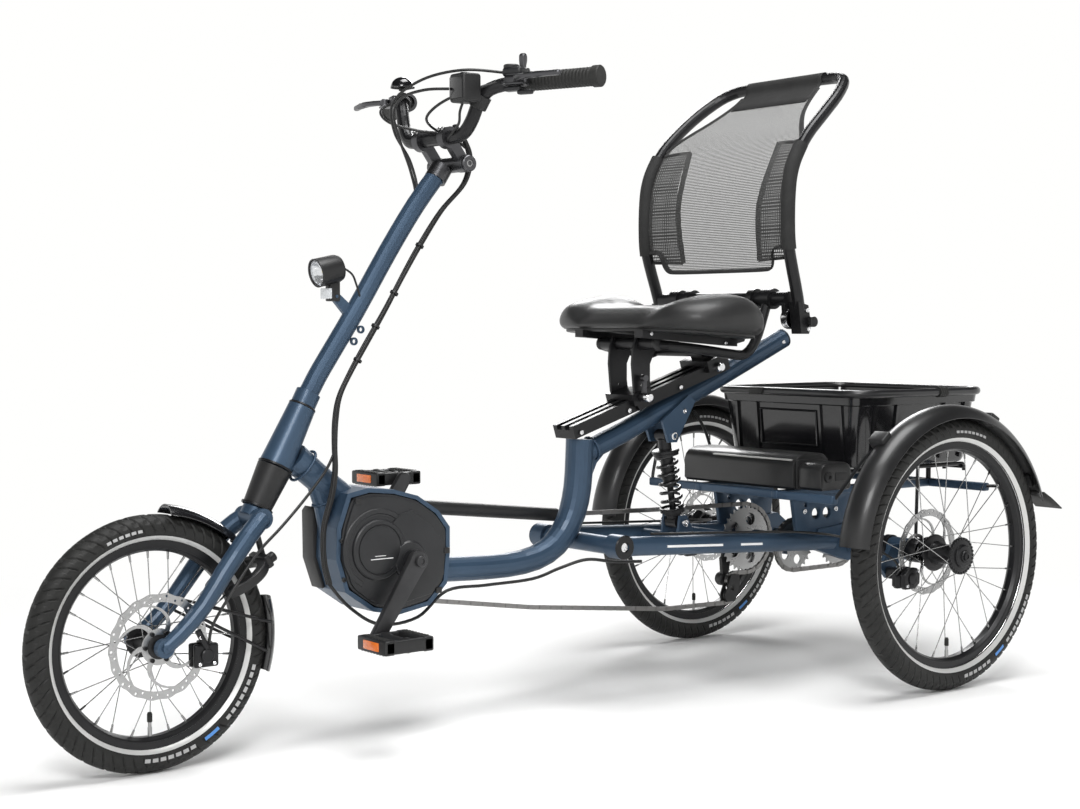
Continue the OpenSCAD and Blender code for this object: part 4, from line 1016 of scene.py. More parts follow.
def weave(name, colour, pitch, low, high):
    """Open net: bands of thread across and along, with gaps that light passes through."""
    mat = make_material(name, colour, 0.75, sheen=0.3)
    axes = split_axes(mat, "UV")
    threads = [maths(mat, "SINE", maths(mat, "MULTIPLY", axes[axis], TAU / rate))
               for axis, rate in (("X", pitch * 0.8), ("Y", pitch))]
    top = maths(mat, "MAXIMUM", *threads)
    link(mat, map_range(mat, top, 0.0, 0.6, low, high),
         mat.node_tree.nodes["Principled BSDF"].inputs["Alpha"])
    add_bump(mat, top, 0.4, 0.0006)
    return mat


MAT["leather"] = leather()
MAT["net"] = weave("back_net", (0.035, 0.035, 0.034), 0.0032, 0.12, 1.0)
MAT["pocket_net"] = weave("pocket_net", (0.02, 0.02, 0.02), 0.006, 0.45, 1.0)
MAT["webbing"] = black("black_webbing", (0.016, 0.016, 0.016), 0.78, grain=1400.0, bump=0.5)

TILT_POINT = mm(0, 250, 652)
TILT = Matrix.Rotation(math.radians(-4), 4, "X")
TILT = Matrix.Translation(TILT_POINT) @ TILT @ Matrix.Translation(-TILT_POINT)


def cushion_edge(angle):
    """Outline of the cushion from above, in mm: rounded front, squarer back."""
    c, s = math.cos(angle), math.sin(angle)
    half = 211.0
    depth = 117.0 if s > 0 else 121.0
    power = 3.4 if s > 0 else 2.7
    r = (abs(c / half) ** power + abs(s / depth) ** power) ** (-1 / power)
    x, y = r * c, 247.0 + r * s
    if s < 0:
        y += 7.0 * math.cos(x / 211.0 * math.pi) * 0.6
    return x, y


def cushion_top(x, y):
    """Height of the cushion's top, in mm: a shallow middle with a raised lobe at each side."""
    side = max(0.0, min(1.0, (abs(x) - 70.0) / 78.0))
    side = side * side * (3 - 2 * side)
    crest = math.exp(-((y - 272.0) / 96.0) ** 2)
    middle = 701.0 - 0.0011 * (y - 250.0) ** 2 - 10.0 * max(0.0, (160.0 - y) / 40.0)
    lobe = 700.0 + 27.0 * crest - 0.0016 * (abs(x) - 152.0) ** 2
    return middle * (1 - side) + lobe * side


def seat_cushion():
    """Saddle cushion with its side lobes, and the board under it."""
    bm = bmesh.new()
    around, rings_in = 96, 14
    loops = []
    floor_z = 656.0
    centre_low = bm.verts.new(mm(0, 247, floor_z))
    for t in (0.35, 0.7, 0.9):
        loops.append([bm.verts.new(mm(cushion_edge(TAU * i / around)[0] * t,
                                      247 + (cushion_edge(TAU * i / around)[1] - 247) * t, floor_z))
                      for i in range(around)])
    for t, share in ((0.955, 0.0), (1.0, 0.16), (1.012, 0.34), (1.006, 0.55), (0.975, 0.8), (0.93, 0.94)):
        ring = []
        for i in range(around):
            x, y = cushion_edge(TAU * i / around)
            x, y = x * t, 247 + (y - 247) * t
            top = cushion_top(x, y) - 5.0
            ring.append(bm.verts.new(mm(x, y, floor_z + (top - floor_z) * share)))
        loops.append(ring)
    for k in range(rings_in):
        t = 0.87 * (1 - k / rings_in)
        ring = []
        for i in range(around):
            x, y = cushion_edge(TAU * i / around)
            x, y = x * t, 247 + (y - 247) * t
            drop = 3.5 * max(0.0, (t - 0.7) / 0.17)
            ring.append(bm.verts.new(mm(x, y, cushion_top(x, y) - drop)))
        loops.append(ring)
    centre_top = bm.verts.new(mm(0, 247, cushion_top(0, 247)))
    skin(bm, loops)
    for i in range(around):
        bm.faces.new((centre_low, loops[0][(i + 1) % around], loops[0][i]))
        bm.faces.new((centre_top, loops[-1][i], loops[-1][(i + 1) % around]))
    bmesh.ops.transform(bm, matrix=TILT, verts=bm.verts)
    cushion = finish_mesh("cushion", bm, "leather", None, 80.0)
    puff(cushion, 0.006)
    seam_crease(cushion)
    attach(cushion, "seat")
    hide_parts("seat_cushion")
    base = bmesh.new()
    outline = [tuple(v / 1000 for v in cushion_edge(TAU * i / 72)) for i in range(72)]
    outline = [(x * 0.93, 0.247 + (y - 0.247) * 0.93) for x, y in outline]
    plate(base, outline, 0.006, TILT @ Matrix.Translation(mm(0, 0, 654.5)), bevel=0.002)
    finish_mesh("cushion_base", base, "black_plastic", "seat")


def puff(obj, cap):
    """Cloth under a little pressure rounds the cover; no point moves further than the cap."""
    before = [v.co.copy() for v in obj.data.vertices]
    cloth = obj.modifiers.new("cloth", "CLOTH")
    cloth.settings.use_pressure = True
    cloth.settings.uniform_pressure_force = 3.0
    cloth.settings.tension_stiffness = 40
    cloth.settings.compression_stiffness = 40
    cloth.settings.bending_stiffness = 8
    cloth.settings.effector_weights.gravity = 0.0
    pins = obj.vertex_groups.new(name="pinned")
    low = min(v.co.z for v in obj.data.vertices)
    pins.add([v.index for v in obj.data.vertices if v.co.z < low + 0.014], 1.0, "REPLACE")
    cloth.settings.vertex_group_mass = "pinned"
    scene = bpy.context.scene
    for step in range(1, 15):
        scene.frame_set(step)
    graph = bpy.context.evaluated_depsgraph_get()
    moved = [v.co.copy() for v in obj.evaluated_get(graph).data.vertices]
    obj.modifiers.remove(cloth)
    scene.frame_set(1)
    for v, old, new in zip(obj.data.vertices, before, moved):
        step = new - old
        if step.length > cap:
            step = step * (cap / step.length)
        v.co = old + step * 0.7
    sub = obj.modifiers.new("smooth", "SUBSURF")
    sub.levels = 1
    sub.render_levels = 1


def seam_crease(obj):
    """The sewn line between the middle and each side lobe."""
    for v in obj.data.vertices:
        back = TILT.inverted() @ v.co
        if back.z < 0.68:
            continue
        line = 0.098 + 0.05 * max(0.0, 0.235 - back.y)
        gap = (abs(back.x) - line) / 0.0055
        v.co.z -= 0.0022 * math.exp(-gap * gap)


BACK_LINE = [(402, 772), (394, 796), (386, 840), (386, 890), (395, 940), (418, 988), (450, 1028), (492, 1062),
             (540, 1098), (572, 1126)]


def back_depth(z):
    """Distance to the back of the seat's net at a height, in mm."""
    for (ya, za), (yb, zb) in zip(BACK_LINE, BACK_LINE[1:]):
        if z <= zb:
            t = (z - za) / (zb - za)
            return ya + (yb - ya) * t
    return BACK_LINE[-1][0]


BACK_CURVE = smooth_path([(0, y, z) for y, z in BACK_LINE], 8)


def back_point(v):
    """Point of the net's centre line, v from 0 at the hem to 1 at the top bar."""
    t = v * (len(BACK_CURVE) - 1)
    i = min(int(t), len(BACK_CURVE) - 2)
    return BACK_CURVE[i].lerp(BACK_CURVE[i + 1], t - i)


def on_net(x, v, lift=0.0):
    """Point of the net at a distance x from its centre line, lifted towards the back."""
    return back_point(v) + Vector((x, lift, 0))


def back_half(z):
    """Half the net's width at a height, in mm."""
    rows = [(770, 138), (776, 146), (806, 150), (812, 166), (818, 184), (1008, 184), (1030, 163), (1060, 130),
            (1085, 111), (1105, 102), (1140, 97)]
    for (za, wa), (zb, wb) in zip(rows, rows[1:]):
        if z <= zb:
            return wa + (wb - wa) * max(0.0, (z - za) / (zb - za))
    return rows[-1][1]


def net_panel(name, across, v0, v1, rows, cols, mat, sink, offset=0.0):
    """Part of the seat's net; across gives the left and right edge at each height."""
    bm = bmesh.new()
    layer = bm.loops.layers.uv.new("UVMap")
    grid, coords = [], []
    run = 0.0
    last = None
    for j in range(rows + 1):
        v = v0 + (v1 - v0) * j / rows
        mid = back_point(v)
        run += (mid - last).length if last is not None else 0.0
        last = mid.copy()
        left, right = across(mid.z * 1000)
        line, uvs = [], []
        for i in range(cols + 1):
            x = (left + (right - left) * i / cols) / 1000
            wide = max(back_half(mid.z * 1000), 100) / 1000
            bow = sink * (1 - min(1.0, (x / wide) ** 2))
            bow *= math.sin(math.pi * min(1.0, max(0.0, v) * 0.9 + 0.08))
            line.append(bm.verts.new((x, mid.y + bow + offset, mid.z)))
            uvs.append((x, run))
        grid.append(line)
        coords.append(uvs)
    for j in range(rows):
        for i in range(cols):
            face = bm.faces.new((grid[j][i], grid[j][i + 1], grid[j + 1][i + 1], grid[j + 1][i]))
            corners = ((j, i), (j, i + 1), (j + 1, i + 1), (j + 1, i))
            for loop, (a, b) in zip(face.loops, corners):
                loop[layer].uv = coords[a][b]
    return finish_mesh(name, bm, mat, "backrest", 80.0)


def edge_band(name, points, width, thick):
    """Flat binding along a line of points on the net."""
    bm = bmesh.new()
    sweep(bm, catmull(points, 4), width, 10, squash=thick / width)
    finish_mesh(name, bm, "webbing", "backrest")


def backrest():
    """Net of the backrest with its pockets, bindings and sleeves."""
    sink = 0.010
    net = net_panel("back_net", lambda z: (-back_half(z), back_half(z)), 0.0, 1.0, 60, 40, "net", sink)
    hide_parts("backrest_mesh")
    for s in (-1, 1):
        tag = "left" if s > 0 else "right"

        def pocket(z):
            """Left and right edge of the pocket at a height, in mm."""
            inner = 104 + 18 * (z - 812) / 190
            return (s * inner, s * 182) if s > 0 else (-182, -inner)

        panel = net_panel(f"pocket_{tag}", pocket, 0.085, 0.60, 20, 8, "pocket_net", sink, 0.004)
        side_path = [(s * 193.5, y, z) for y, z in
                     ((391, 806), (388, 830), (387, 865), (388, 900), (392, 935), (402, 965), (420, 996))]
        bm = bmesh.new()
        sweep(bm, smooth_path(side_path, 5), 0.0132, 20)
        finish_mesh(f"sleeve_{tag}", bm, "webbing", "backrest", 60.0)
        low_corner, high_corner = on_net(s * 0.104, 0.088, 0.011), on_net(s * 0.121, 0.60, 0.009)
        edge_band(f"pocket_edge_{tag}", [low_corner, on_net(s * 0.110, 0.34, 0.012), high_corner], 0.005,
                  0.0016)
        edge_band(f"pocket_top_{tag}", [high_corner, on_net(s * 0.181, 0.59)], 0.0045, 0.0016)
        edge_band(f"pocket_foot_{tag}", [low_corner, on_net(s * 0.178, 0.095)], 0.0045, 0.0016)
        rim_points = [Vector((s * 0.184, back_point(0.61).y, back_point(0.61).z))]
        for v in (0.625, 0.67, 0.72, 0.78, 0.84, 0.9, 0.95):
            p = back_point(v)
            rim_points.append(Vector((s * back_half(p.z * 1000) / 1000, p.y + 0.0005, p.z)))
        edge_band(f"back_rim_{tag}", rim_points, 0.0052, 0.0018)
    hem_half = [(180, 812), (158, 810), (149, 800), (146, 784), (138, 774), (120, 771.5), (60, 771)]
    hem = [mm(x, back_depth(z) + 4 * (1 - (x / 150) ** 2), z)
           for x, z in [(-x, z) for x, z in hem_half] + [(0, 771)] + hem_half[::-1]]
    edge_band("back_hem", hem, 0.0055, 0.002)
    bm = bmesh.new()
    rows = []
    for k in range(15):
        a = math.radians(-70 + 320 * k / 14)
        rows.append((0.582 + 0.0128 * math.cos(a), 1.1355 + 0.0128 * math.sin(a)))
    front = [(back_point(v).y - 0.0008, back_point(v).z) for v in (0.86, 0.9, 0.94, 0.98)]
    section = front + [(y, z) for y, z in rows[::-1]][2:12]
    lines = []
    for y, z in section:
        lines.append([bm.verts.new((x, y, z)) for x in [-0.1 + 0.2 * i / 20 for i in range(21)]])
    for a, b in zip(lines, lines[1:]):
        for i in range(20):
            bm.faces.new((a[i], a[i + 1], b[i + 1], b[i]))
    sleeve = finish_mesh("back_top_sleeve", bm, "webbing", "backrest", 80.0)
    solid = sleeve.modifiers.new("thick", "SOLIDIFY")
    solid.thickness = 0.0016


def seat_details():
    """Recline drums, knobs, tube plugs and bolts under the seat."""
    for s in (-1, 1):
        tag = "left" if s > 0 else "right"
        drum = turned(f"recline_drum_{tag}", [(0.0062, 0.0), (0.017, 0.0), (0.0195, 0.002), (0.0195, 0.013),
                                              (0.018, 0.0155), (0.0062, 0.0155), (0.0062, 0.0)],
                      mm(s * 158.5, 425, 682), (s, 0, 0), "alloy", "seat", 40)
        bm = bmesh.new()
        bolt(bm, mm(s * 199, 432, 697), (s, 0, 0), 0.0045, 0.003)
        bolt(bm, mm(s * 199, 436, 663), (s, 0, 0), 0.0045, 0.003)
        finish_mesh(f"recline_bolts_{tag}", bm, "alloy", "backrest")
        knob = bmesh.new()
        lathe(knob, [(0.005, -0.004), (0.0075, 0.0), (0.0095, 0.004), (0.0095, 0.011), (0.0075, 0.0125),
                     (0, 0.0128)],
              mm(s * 199, 440, 676), (s, 0, 0), 18)
        finish_mesh(f"recline_knob_{tag}", knob, "black_plastic", "backrest")
        plug = bmesh.new()
        lathe(plug, [(0.0112, -0.006), (0.0118, -0.005), (0.0118, 0.0015), (0.0095, 0.003), (0, 0.0032)],
              mm(s * 78, 180, 636), (s, 0, 0), 28)
        finish_mesh(f"front_tube_plug_{tag}", plug, "black_plastic", "seat")
        more = bmesh.new()
        for y, z in ((181, 545), (181, 562), (181, 579)):
            bolt(more, mm(s * 34.4, y, z), (s, 0, 0), 0.0028, 0.0008)
        for y, z in ((150, 668), (330, 650)):
            bolt(more, mm(s * 94, y, z - 13), (s, 0, 0), 0.0035, 0.002)
        finish_mesh(f"seat_bolts_{tag}", more, "alloy", "seat")
    bm = bmesh.new()
    lathe(bm, [(0.006, -0.004), (0.009, -0.004), (0.009, 0.006), (0.0065, 0.009), (0, 0.009)],
          mm(39, 367, 592), X_AXIS, 18)
    lathe(bm, [(0.006, -0.003), (0.0085, -0.003), (0.0085, 0.006), (0.006, 0.008), (0, 0.008)],
          mm(56, 176, 541), X_AXIS, 18)
    finish_mesh("clamp_nuts", bm, "alloy", "seat")
    rail = bmesh.new()
    slope = math.radians(17.5)
    turn = Matrix.Translation(mm(0, 33, 470)) @ Matrix.Rotation(slope, 4, "X")
    for k in range(26):
        along = 0.012 + 0.0145 * k
        for x in (-0.012, 0.012):
            box(rail, (x - 0.0045, along, 0.0155), (x + 0.0045, along + 0.007, 0.0172), 0.0005, 1, turn)
    for y in (0.014, 0.130, 0.260):
        for s in (-1, 1):
            bolt(rail, turn @ Vector((s * 0.0305, y, 0.008)), (s, 0, 0), 0.0042, 0.002, 1)
    finish_mesh("rail_notches", rail, ["black_metal", "alloy"], "frame")


seat_cushion()
backrest()
seat_details()


# ---------- chains and rear end ----------

def side_arc(centre, r, a0, a1, steps, x):
    """Points along an arc round a cross axle, at a distance x from the middle plane."""
    middle = (0, centre[1], centre[2])
    return [off_axle(middle, x, r, math.radians(a0 + (a1 - a0) * k / steps)) for k in range(steps + 1)]


def resample(path, pitch):
    """Evenly spaced points round a closed path, with a whole number of pitches."""
    pts = list(path) + [path[0]]
    total = sum((b - a).length for a, b in zip(pts, pts[1:]))
    count = max(4, int(round(total / pitch / 2)) * 2)
    step = total / count
    out, carry = [], 0.0
    for a, b in zip(pts, pts[1:]):
        length = (b - a).length
        if length < 1e-9:
            continue
        while carry <= length and len(out) < count:
            out.append(a.lerp(b, carry / length))
            carry += step
        carry -= length
    return out


def chain(name, path):
    """Roller chain: a pair of side plates, a roller and a pin to each link."""
    pts = resample(path, CHAIN_PITCH)
    bm = bmesh.new()
    count = len(pts)
    plate_r, plate_thick, sides = 0.004, 0.0008, 14
    for i in range(count):
        a, b = pts[i], pts[(i + 1) % count]
        along = (b - a).normalized()
        up = Vector((1, 0, 0)).cross(along)
        half = 0.0030 if i % 2 == 0 else 0.0020
        for s in (-1, 1):
            faces = []
            for x in (s * (half - plate_thick / 2), s * (half + plate_thick / 2)):
                ring = []
                for k in range(sides):
                    c, d = math.cos(TAU * k / sides), math.sin(TAU * k / sides)
                    end = b if c > 0 else a
                    shift = along * (plate_r * c) + up * (plate_r * d) + Vector((x, 0, 0))
                    ring.append(bm.verts.new(end + shift))
                faces.append(ring)
            bm.faces.new(faces[0])
            bm.faces.new(faces[1][::-1])
            skin(bm, faces)
        for reach, radius, around in ((0.0018, 0.0034, 8), (0.0037, 0.0016, 6)):
            sweep(bm, [a - Vector((reach, 0, 0)), a + Vector((reach, 0, 0))], radius, around)
    obj = finish_mesh(name, bm, "chain", None, 40.0)
    return obj


CHAIN_PITCH = 0.0127
JACK = mm(0, 535, 250)


def chains():
    """Front and rear chains round their wheels."""
    x = -0.06
    path = [mm(-60, y, z) for y, z in ((536, 318.5), (300, 322), (57, 328.5), (-246, 362.5))]
    path += side_arc(CRANK, 0.0775, 84, 278, 40, x)
    path += [mm(-60, 0, 166), mm(-60, 322, 131)]
    path += side_arc(mm(0, 487, 142), 0.0145, 262, 400, 12, x)
    path += side_arc(mm(0, 500, 170), 0.0145, 230, 84, 12, x)
    path += side_arc(JACK, 0.067, -96, 86, 28, x)
    first = chain("chain_front", path)
    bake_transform(first)
    loop = side_arc(LEFT_AXLE, 0.0485, -90, 90, 24, 0.07) + side_arc(JACK, 0.0485, 90, 270, 24, 0.07)
    second = chain("chain_rear", loop)
    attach(second, "rear_end")
    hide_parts("drive_chains")


def jackshaft():
    """Cross shaft with its four cogs and the second sprocket."""
    bm = bmesh.new()
    rod(bm, mm(-82, 535, 250), mm(76, 535, 250), 0.0079, 24)
    for i, (r, teeth) in enumerate(((0.0635, 32), (0.0545, 27), (0.0455, 23), (0.0365, 18))):
        chain_wheel(bm, mm(-60 - 5 * i, 535, 250), r, teeth, 0.0018)
    chain_wheel(bm, mm(70, 535, 250), 0.0475, 24, 0.0025)
    obj = finish_mesh("jackshaft_cogs", bm, "steel", "jackshaft_unit", 30.0)
    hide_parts("jackshaft")


def derailleur_details():
    """Guide pulleys and knuckles."""
    bm = bmesh.new()
    for y, z in ((500, 170), (487, 142)):
        lathe(bm, [(0.0042, -0.0022), (0.0098, -0.0022), (0.0112, -0.0014), (0.0112, 0.0014),
                   (0.0098, 0.0022), (0.0042, 0.0022), (0.0042, -0.0022)], mm(-60, y, z), X_AXIS, 22)
    finish_mesh("guide_pulleys", bm, "black_plastic", "chain_guide")
    knuckle = bmesh.new()
    box(knuckle, mm(-96, 500, 196), mm(-82, 530, 222), 0.004, 3)
    box(knuckle, mm(-94, 494, 160), mm(-84, 512, 182), 0.004, 3)
    lathe(knuckle, [(0, -0.012), (0.012, -0.012), (0.0135, -0.009), (0.0135, 0.004), (0.012, 0.006),
                    (0, 0.006)],
          mm(-86, 500, 170), X_AXIS, 24)
    finish_mesh("derailleur_knuckles", knuckle, "black_plastic", "rear_end")


def spring():
    """Coil of the shock absorber with its collars and foot."""
    low, high = -164.4 + 29, -36.5
    top = mm(0, 264, 467)
    axis = (mm(0, 264, 467) - mm(0, 292, 305)).normalized()
    side = Vector((1, 0, 0))
    up = axis.cross(side)
    path = []
    turns, steps = 6, 28
    for k in range(turns * steps + 1):
        a = TAU * k / steps
        h = low + (high - low) * k / (turns * steps)
        path.append(top + axis * (h / 1000) + 0.0185 * (math.cos(a) * side + math.sin(a) * up))
    bm = bmesh.new()
    sweep(bm, path, 0.003, 12)
    coil = finish_mesh("shock_coil", bm, "coil", "shock_upper", 60.0)
    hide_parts("shock_spring")
    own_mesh(coil)
    bm = bmesh.new()
    for h, r in ((-0.030, 0.0255), (-0.0355, 0.0235), (-0.064, 0.0135), (-0.072, 0.0135), (-0.08, 0.0135)):
        collar(bm, 0.0122, r, 0.0022, top + axis * h, axis, 28)
    finish_mesh("shock_rings", bm, "black_metal", "shock_upper")
    bm = bmesh.new()
    low_eye = mm(0, 292, 305)
    lathe(bm, [(0.012, 0.012), (0.0165, 0.014), (0.0165, 0.024), (0.024, 0.0255), (0.0245, 0.028),
               (0.022, 0.0285)],
          low_eye, axis, 32)
    finish_mesh("shock_foot", bm, "black_metal", "shock_lower")


MAT["coil"] = black("coil_black", (0.02, 0.02, 0.021), 0.25, metallic=0.3, coat=0.4, grain=300.0, bump=0.05)


def rack_pieces():
    """Rails, side plates, wires and bolts of the luggage rack."""
    bm = bmesh.new()
    for s in (-1, 1):
        xa, xb = (0.096, 0.112) if s > 0 else (-0.112, -0.096)
        box(bm, (xa, 0.446, 0.3462), (xb, 0.899, 0.3618), 0.003, 3)
        outline = outline_mm((505, 272), (520, 264), (628, 262), (642, 268), (654, 349), (491, 349))
        plate(bm, outline, 0.0096, side_matrix(s * 0.104), bevel=0.002,
              holes=[(0.556, 0.312, 0.0105), (0.586, 0.312, 0.0105), (0.612, 0.33, 0.004),
                     (0.528, 0.33, 0.004)])
    for y in (448, 878):
        box(bm, mm(-250, y, 346.2), mm(250, y + 16, 361.8), 0.003, 3)
    rails = finish_mesh("rack_rails", bm, "blue", "rear_end", 35.0)
    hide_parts("rack")
    wires = bmesh.new()
    for x in (-150, -100, -50, 0, 50, 100, 150):
        path = [mm(x, 566, 378), mm(x, 566.5, 387), mm(x, 571, 391.6), mm(x, 580, 392), mm(x, 925, 392),
                mm(x, 935, 391.6), mm(x, 939.5, 387), mm(x, 940, 378)]
        sweep(wires, path, 0.004, 12)
    for y in (570, 750, 930):
        rod(wires, mm(-158, y, 386.5), mm(158, y, 386.5), 0.004, 12)
    for x in (-104, 104):
        for y in (572, 748, 886):
            rod(wires, mm(x, y, 361), mm(x, y, 390), 0.005, 12)
    finish_mesh("rack_wires", wires, "black_metal", "rear_end")
    bolts = bmesh.new()
    side_bolts(bolts, ((109, 523, 318, 5, 3), (109, 608, 318, 5, 3)))
    finish_mesh("rack_bolts", bolts, "alloy", "rear_end")


def battery():
    """Battery case with its end cap, strip and lock."""
    bm = bmesh.new()
    case = outline_mm((452.5, 370), (452.5, 408), (456, 417), (463, 424), (474, 429), (484, 431), (526, 431),
                      (536, 428.5), (543, 422.5), (547.5, 412), (547.5, 370), (542, 365), (458, 365))
    plate(bm, case, 0.298, side_matrix(-0.001), bevel=0.0035)
    end = outline_mm((459, 372), (459, 404), (463, 411), (470, 416.5), (480, 418), (524, 418), (534, 414.5),
                     (539, 408), (540, 400), (540, 372), (535, 367), (464, 367))
    plate(bm, end, 0.060, side_matrix(0.182), bevel=0.005)
    body = finish_mesh("battery_case", bm, "battery", "battery_pack", 32.0)
    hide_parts("battery")
    strip = bmesh.new()
    box(strip, mm(-70, 454.5, 418.6), mm(140, 461.5, 421.6), 0.0008, 2)
    finish_mesh("battery_strip", strip, "grey_strip", "battery_pack")
    detail = bmesh.new()
    box(detail, mm(148, 458, 366), mm(152.5, 541, 421), 0.0015, 2)
    lathe(detail, [(0.009, 0), (0.0105, 0.001), (0.0105, 0.003), (0.008, 0.004), (0.004, 0.004),
                   (0.003, 0.001), (0, 0.001)], mm(212, 478, 392), X_AXIS, 26)
    box(detail, mm(211, 496, 384), mm(213, 528, 400), 0.0008, 2)
    finish_mesh("battery_lock", detail, "black_plastic", "battery_pack")


MAT["battery"] = black("battery_case", (0.012, 0.012, 0.0122), 0.34, coat=0.1, grain=900.0, bump=0.15)
MAT["grey_strip"] = make_material("grey_strip", (0.35, 0.35, 0.34), 0.4, metallic=0.4)


def fender_piece(name, centre, radius, half, cut, a0, a1, body, mat="fender"):
    """Curved mudguard with rolled edges."""
    bm = bmesh.new()
    section = []
    limit = math.degrees(math.asin(min(1.0, math.sqrt(max(0.0, half * half - cut * cut)) / half)))
    for k in range(17):
        a = math.radians(-limit + 2 * limit * k / 16)
        section.append((radius + half * math.cos(a), half * math.sin(a)))
    inner = [(r - 0.0022 * math.cos(math.radians(-limit + 2 * limit * k / 16)),
              x * (half - 0.0022) / half) for k, (r, x) in enumerate(section)]
    lip_a = (section[0][0] - 0.0012, section[0][1] * 0.975)
    lip_b = (section[-1][0] - 0.0012, section[-1][1] * 0.975)
    loop = [lip_a] + section + [lip_b] + inner[::-1]
    count = 72
    rings = []
    for i in range(count + 1):
        a = math.radians(a0 + (a1 - a0) * i / count)
        rings.append([bm.verts.new(off_axle(centre, x, r, a)) for r, x in loop])
    skin(bm, rings)
    bm.faces.new(rings[0])
    bm.faces.new(rings[-1][::-1])
    obj = finish_mesh(name, bm, mat, body, 50.0)
    return obj


MAT["fender"] = black("fender_plastic", (0.013, 0.013, 0.0135), 0.36, coat=0.12, grain=1000.0, bump=0.1)


def rear_fenders():
    """Mudguards with flaps, clips and stays."""
    for side, tag, axle in ((1, "left", LEFT_AXLE), (-1, "right", RIGHT_AXLE)):
        guard = fender_piece(f"fender_{tag}", axle, 0.238, 0.037, 0.014, 20, 173, "rear_end")
        if side > 0:
            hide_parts("rear_fenders")
        bm = bmesh.new()
        x = axle.x
        flap = [(x - 0.026, 0.908, 0.352), (x + 0.026, 0.908, 0.352), (x + 0.028, 0.93, 0.339),
                (x + 0.030, 0.959, 0.3185), (x - 0.030, 0.959, 0.3185), (x - 0.028, 0.93, 0.339)]
        verts = [bm.verts.new(p) for p in flap]
        bm.faces.new((verts[0], verts[1], verts[2], verts[5]))
        bm.faces.new((verts[5], verts[2], verts[3], verts[4]))
        mud = finish_mesh(f"mudflap_{tag}", bm, "rubber", "rear_end")
        thick = mud.modifiers.new("thick", "SOLIDIFY")
        thick.thickness = 0.0022
        bm = bmesh.new()
        for a in (62, 128, 27):
            turn = Matrix.Translation(off_axle(axle, 0, 0.2745, math.radians(a)))
            turn = turn @ Matrix.Rotation(math.radians(a - 90), 4, "X")
            reach = -side * 0.028
            box(bm, (min(0, reach) - 0.004, -0.013, -0.009), (max(0, reach) + 0.004, 0.013, 0.010), 0.003, 3,
                turn)
            near, far = sorted((reach * 0.9, reach * 1.3))
            box(bm, (near, -0.008, -0.02), (far, 0.008, 0.001), 0.003, 3, turn)
        finish_mesh(f"fender_clips_{tag}", bm, "black_plastic", "rear_end")
        bm = bmesh.new()
        for path in ([(311, 905, 350), (270, 897, 356), (247, 886, 356)],
                     [(307, 520, 460), (280, 500, 430), (255, 464, 370), (247, 457, 356)],
                     [(304, 620, 490), (285, 640, 440), (265, 660, 330), (262, 662, 270)]):
            sweep(bm, smooth_path([(side * x, y, z) for x, y, z in path], 5), 0.0032, 10)
        finish_mesh(f"fender_stays_{tag}", bm, "black_metal", "rear_end")


def rounded_rectangle(half_x, half_y, r, seg):
    """Corner points of a rectangle with round corners, about its own middle."""
    points = []
    for qx, qy, start in ((1, 1, 0), (-1, 1, 90), (-1, -1, 180), (1, -1, 270)):
        for k in range(seg + 1):
            a = math.radians(start + 90 * k / seg)
            points.append((qx * (half_x - r) + r * math.cos(a), qy * (half_y - r) + r * math.sin(a)))
    return points


